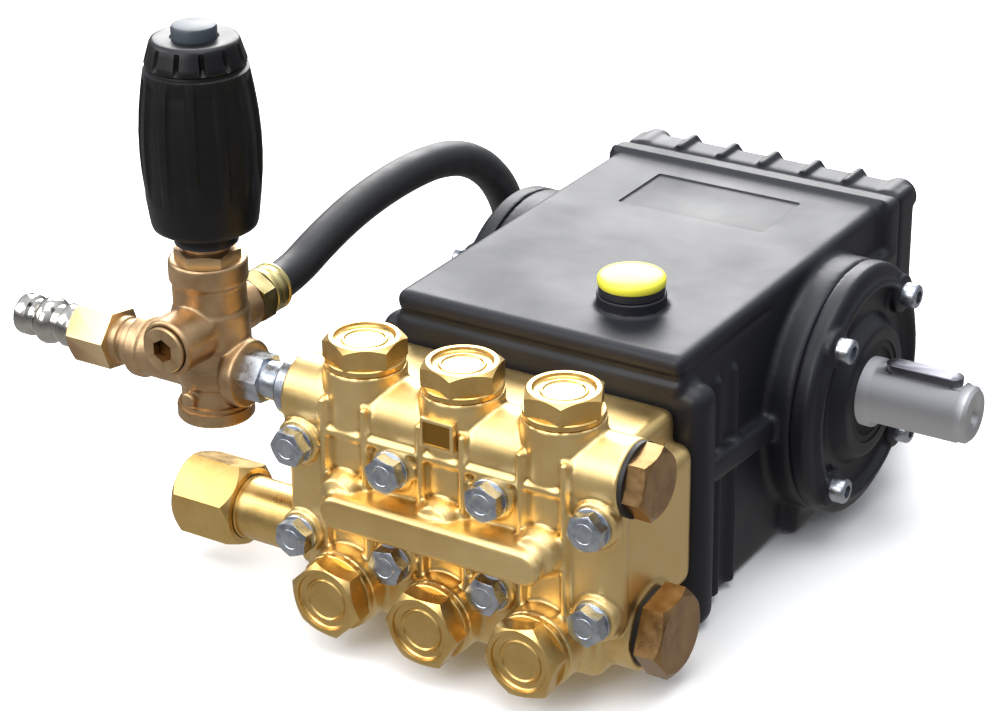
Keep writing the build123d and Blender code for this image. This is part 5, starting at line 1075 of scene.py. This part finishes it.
INNER = {
    "bearing_balls": GROUND_STEEL, "bearing_inner_rings": GROUND_STEEL, "bearing_outer_rings": GROUND_STEEL,
    "rod_seals": NITRILE, "plunger_packings": NITRILE, "packing_retainers": TURNED_BRASS, "valve_seats": STAINLESS,
    "valve_springs": STAINLESS, "unloader_stem": STAINLESS, "con_rod": PLAIN_ALUMINIUM, "wrist_pin": GROUND_STEEL,
    "crosshead": PLAIN_ALUMINIUM, "plunger_bolt": STAINLESS, "plunger": CERAMIC, "outlet_valve": STAINLESS,
    "inlet_valve": STAINLESS,
}


def dress_inner_parts() -> None:
    """Give the parts inside the castings their finishes."""
    for name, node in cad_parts.items():
        finish = INNER.get(name) or INNER.get(name.rsplit("_", 1)[0])
        if finish:
            node.data.materials.clear()
            node.data.materials.append(finish.make())


# ----------------------------------------------------------------- camera, light
@dataclass
class Studio:
    """Camera, soft lights and a pale floor."""

    place: Point = (0.4884, -0.8943, 0.5458)
    azimuth: float = 32.07
    elevation: float = 25.37
    roll: float = -0.70
    lens: float = 100.9

    def build(self) -> None:
        """Set everything that isn't the pump."""
        self.camera()
        self.floor()
        self.lights()

    def camera(self) -> None:
        """Long lens, looking down on the front right corner."""
        az, el, roll = (math.radians(a) for a in (self.azimuth, self.elevation, self.roll))
        right = Vector((math.cos(az), math.sin(az), 0))
        view = Vector((-math.sin(az) * math.cos(el), math.cos(az) * math.cos(el), -math.sin(el)))
        up = right.cross(view)
        cam_x = right * math.cos(roll) + up * math.sin(roll)
        cam_y = -right * math.sin(roll) + up * math.cos(roll)
        data = bpy.data.cameras.new("view")
        data.sensor_width = 36.0
        data.lens = self.lens
        data.clip_end = 20.0
        camera = bpy.data.objects.new("view", data)
        turn = Matrix((cam_x, cam_y, -view)).transposed().to_4x4()
        camera.matrix_world = Matrix.Translation(self.place) @ turn
        bpy.context.scene.collection.objects.link(camera)
        bpy.context.scene.camera = camera

    def floor(self) -> None:
        """Seamless white floor."""
        part = bmesh.new()
        bmesh.ops.create_grid(part, x_segments=2, y_segments=2, size=4.0)
        bmesh.ops.translate(part, verts=part.verts, vec=(0, 0, -0.0005))
        mesh = bpy.data.meshes.new("studio_floor")
        part.to_mesh(mesh)
        part.free()
        floor = bpy.data.objects.new("studio_floor", mesh)
        bpy.context.scene.collection.objects.link(floor)
        mesh.materials.append(Finish("matt_white_paper", "f7f7f7", "f4f4f4", roughness=0.9, bump_mm=0.0,
                                     cloud=0.1).make())
        floor.visible_diffuse = False
        floor.visible_glossy = False

    def lights(self) -> None:
        """Large soft boxes, and a sky that is bright above and dim below."""
        for name, power, size, place in (("top", 24, 1.6, (0.1, -0.2, 1.9)), ("left", 14, 1.0, (-1.4, -0.9, 1.0)),
                                         ("front", 22, 1.1, (-0.3, -1.9, 1.2)), ("rear", 80, 1.7, (-1.1, 1.8, 1.3))):
            data = bpy.data.lights.new(name, "AREA")
            data.energy = power
            data.size = size
            lamp = bpy.data.objects.new(name, data)
            lamp.location = place
            lamp.rotation_euler = (Vector((0, 0, 0.05)) - Vector(place)).to_track_quat("-Z", "Y").to_euler()
            bpy.context.scene.collection.objects.link(lamp)
        world = bpy.data.worlds.new("studio")
        bpy.context.scene.world = world
        world.use_nodes = True
        tree = world.node_tree
        sky = tree.nodes["Background"]
        sky.inputs["Strength"].default_value = 1.1
        around = tree.nodes.new("ShaderNodeTexCoord")
        split = tree.nodes.new("ShaderNodeSeparateXYZ")
        ramp = tree.nodes.new("ShaderNodeValToRGB")
        tree.links.new(around.outputs["Generated"], split.inputs["Vector"])
        height = tree.nodes.new("ShaderNodeMapRange")
        height.inputs["From Min"].default_value = -1.0
        tree.links.new(split.outputs["Z"], height.inputs["Value"])
        tree.links.new(height.outputs["Result"], ramp.inputs["Fac"])
        below, above = ramp.color_ramp.elements
        below.position, below.color = 0.2, (0.42, 0.41, 0.4, 1)
        above.position, above.color = 0.88, (0.9, 0.94, 1.0, 1)
        horizon = ramp.color_ramp.elements.new(0.5)
        horizon.color = (0.15, 0.15, 0.16, 1)
        tree.links.new(ramp.outputs["Color"], sky.inputs["Color"])
        bpy.context.scene.view_settings.view_transform = "Standard"


def main() -> None:
    """Build the studio and the pump."""
    logging.basicConfig(level=logging.INFO, format="%(relativeCreated)d %(message)s")
    for part in (Studio(), Plumbing(), Crankcase(), Manifold(), Unloader(), Drive()):
        part.build()
    dress_inner_parts()


if __name__ == "__main__":
    main()
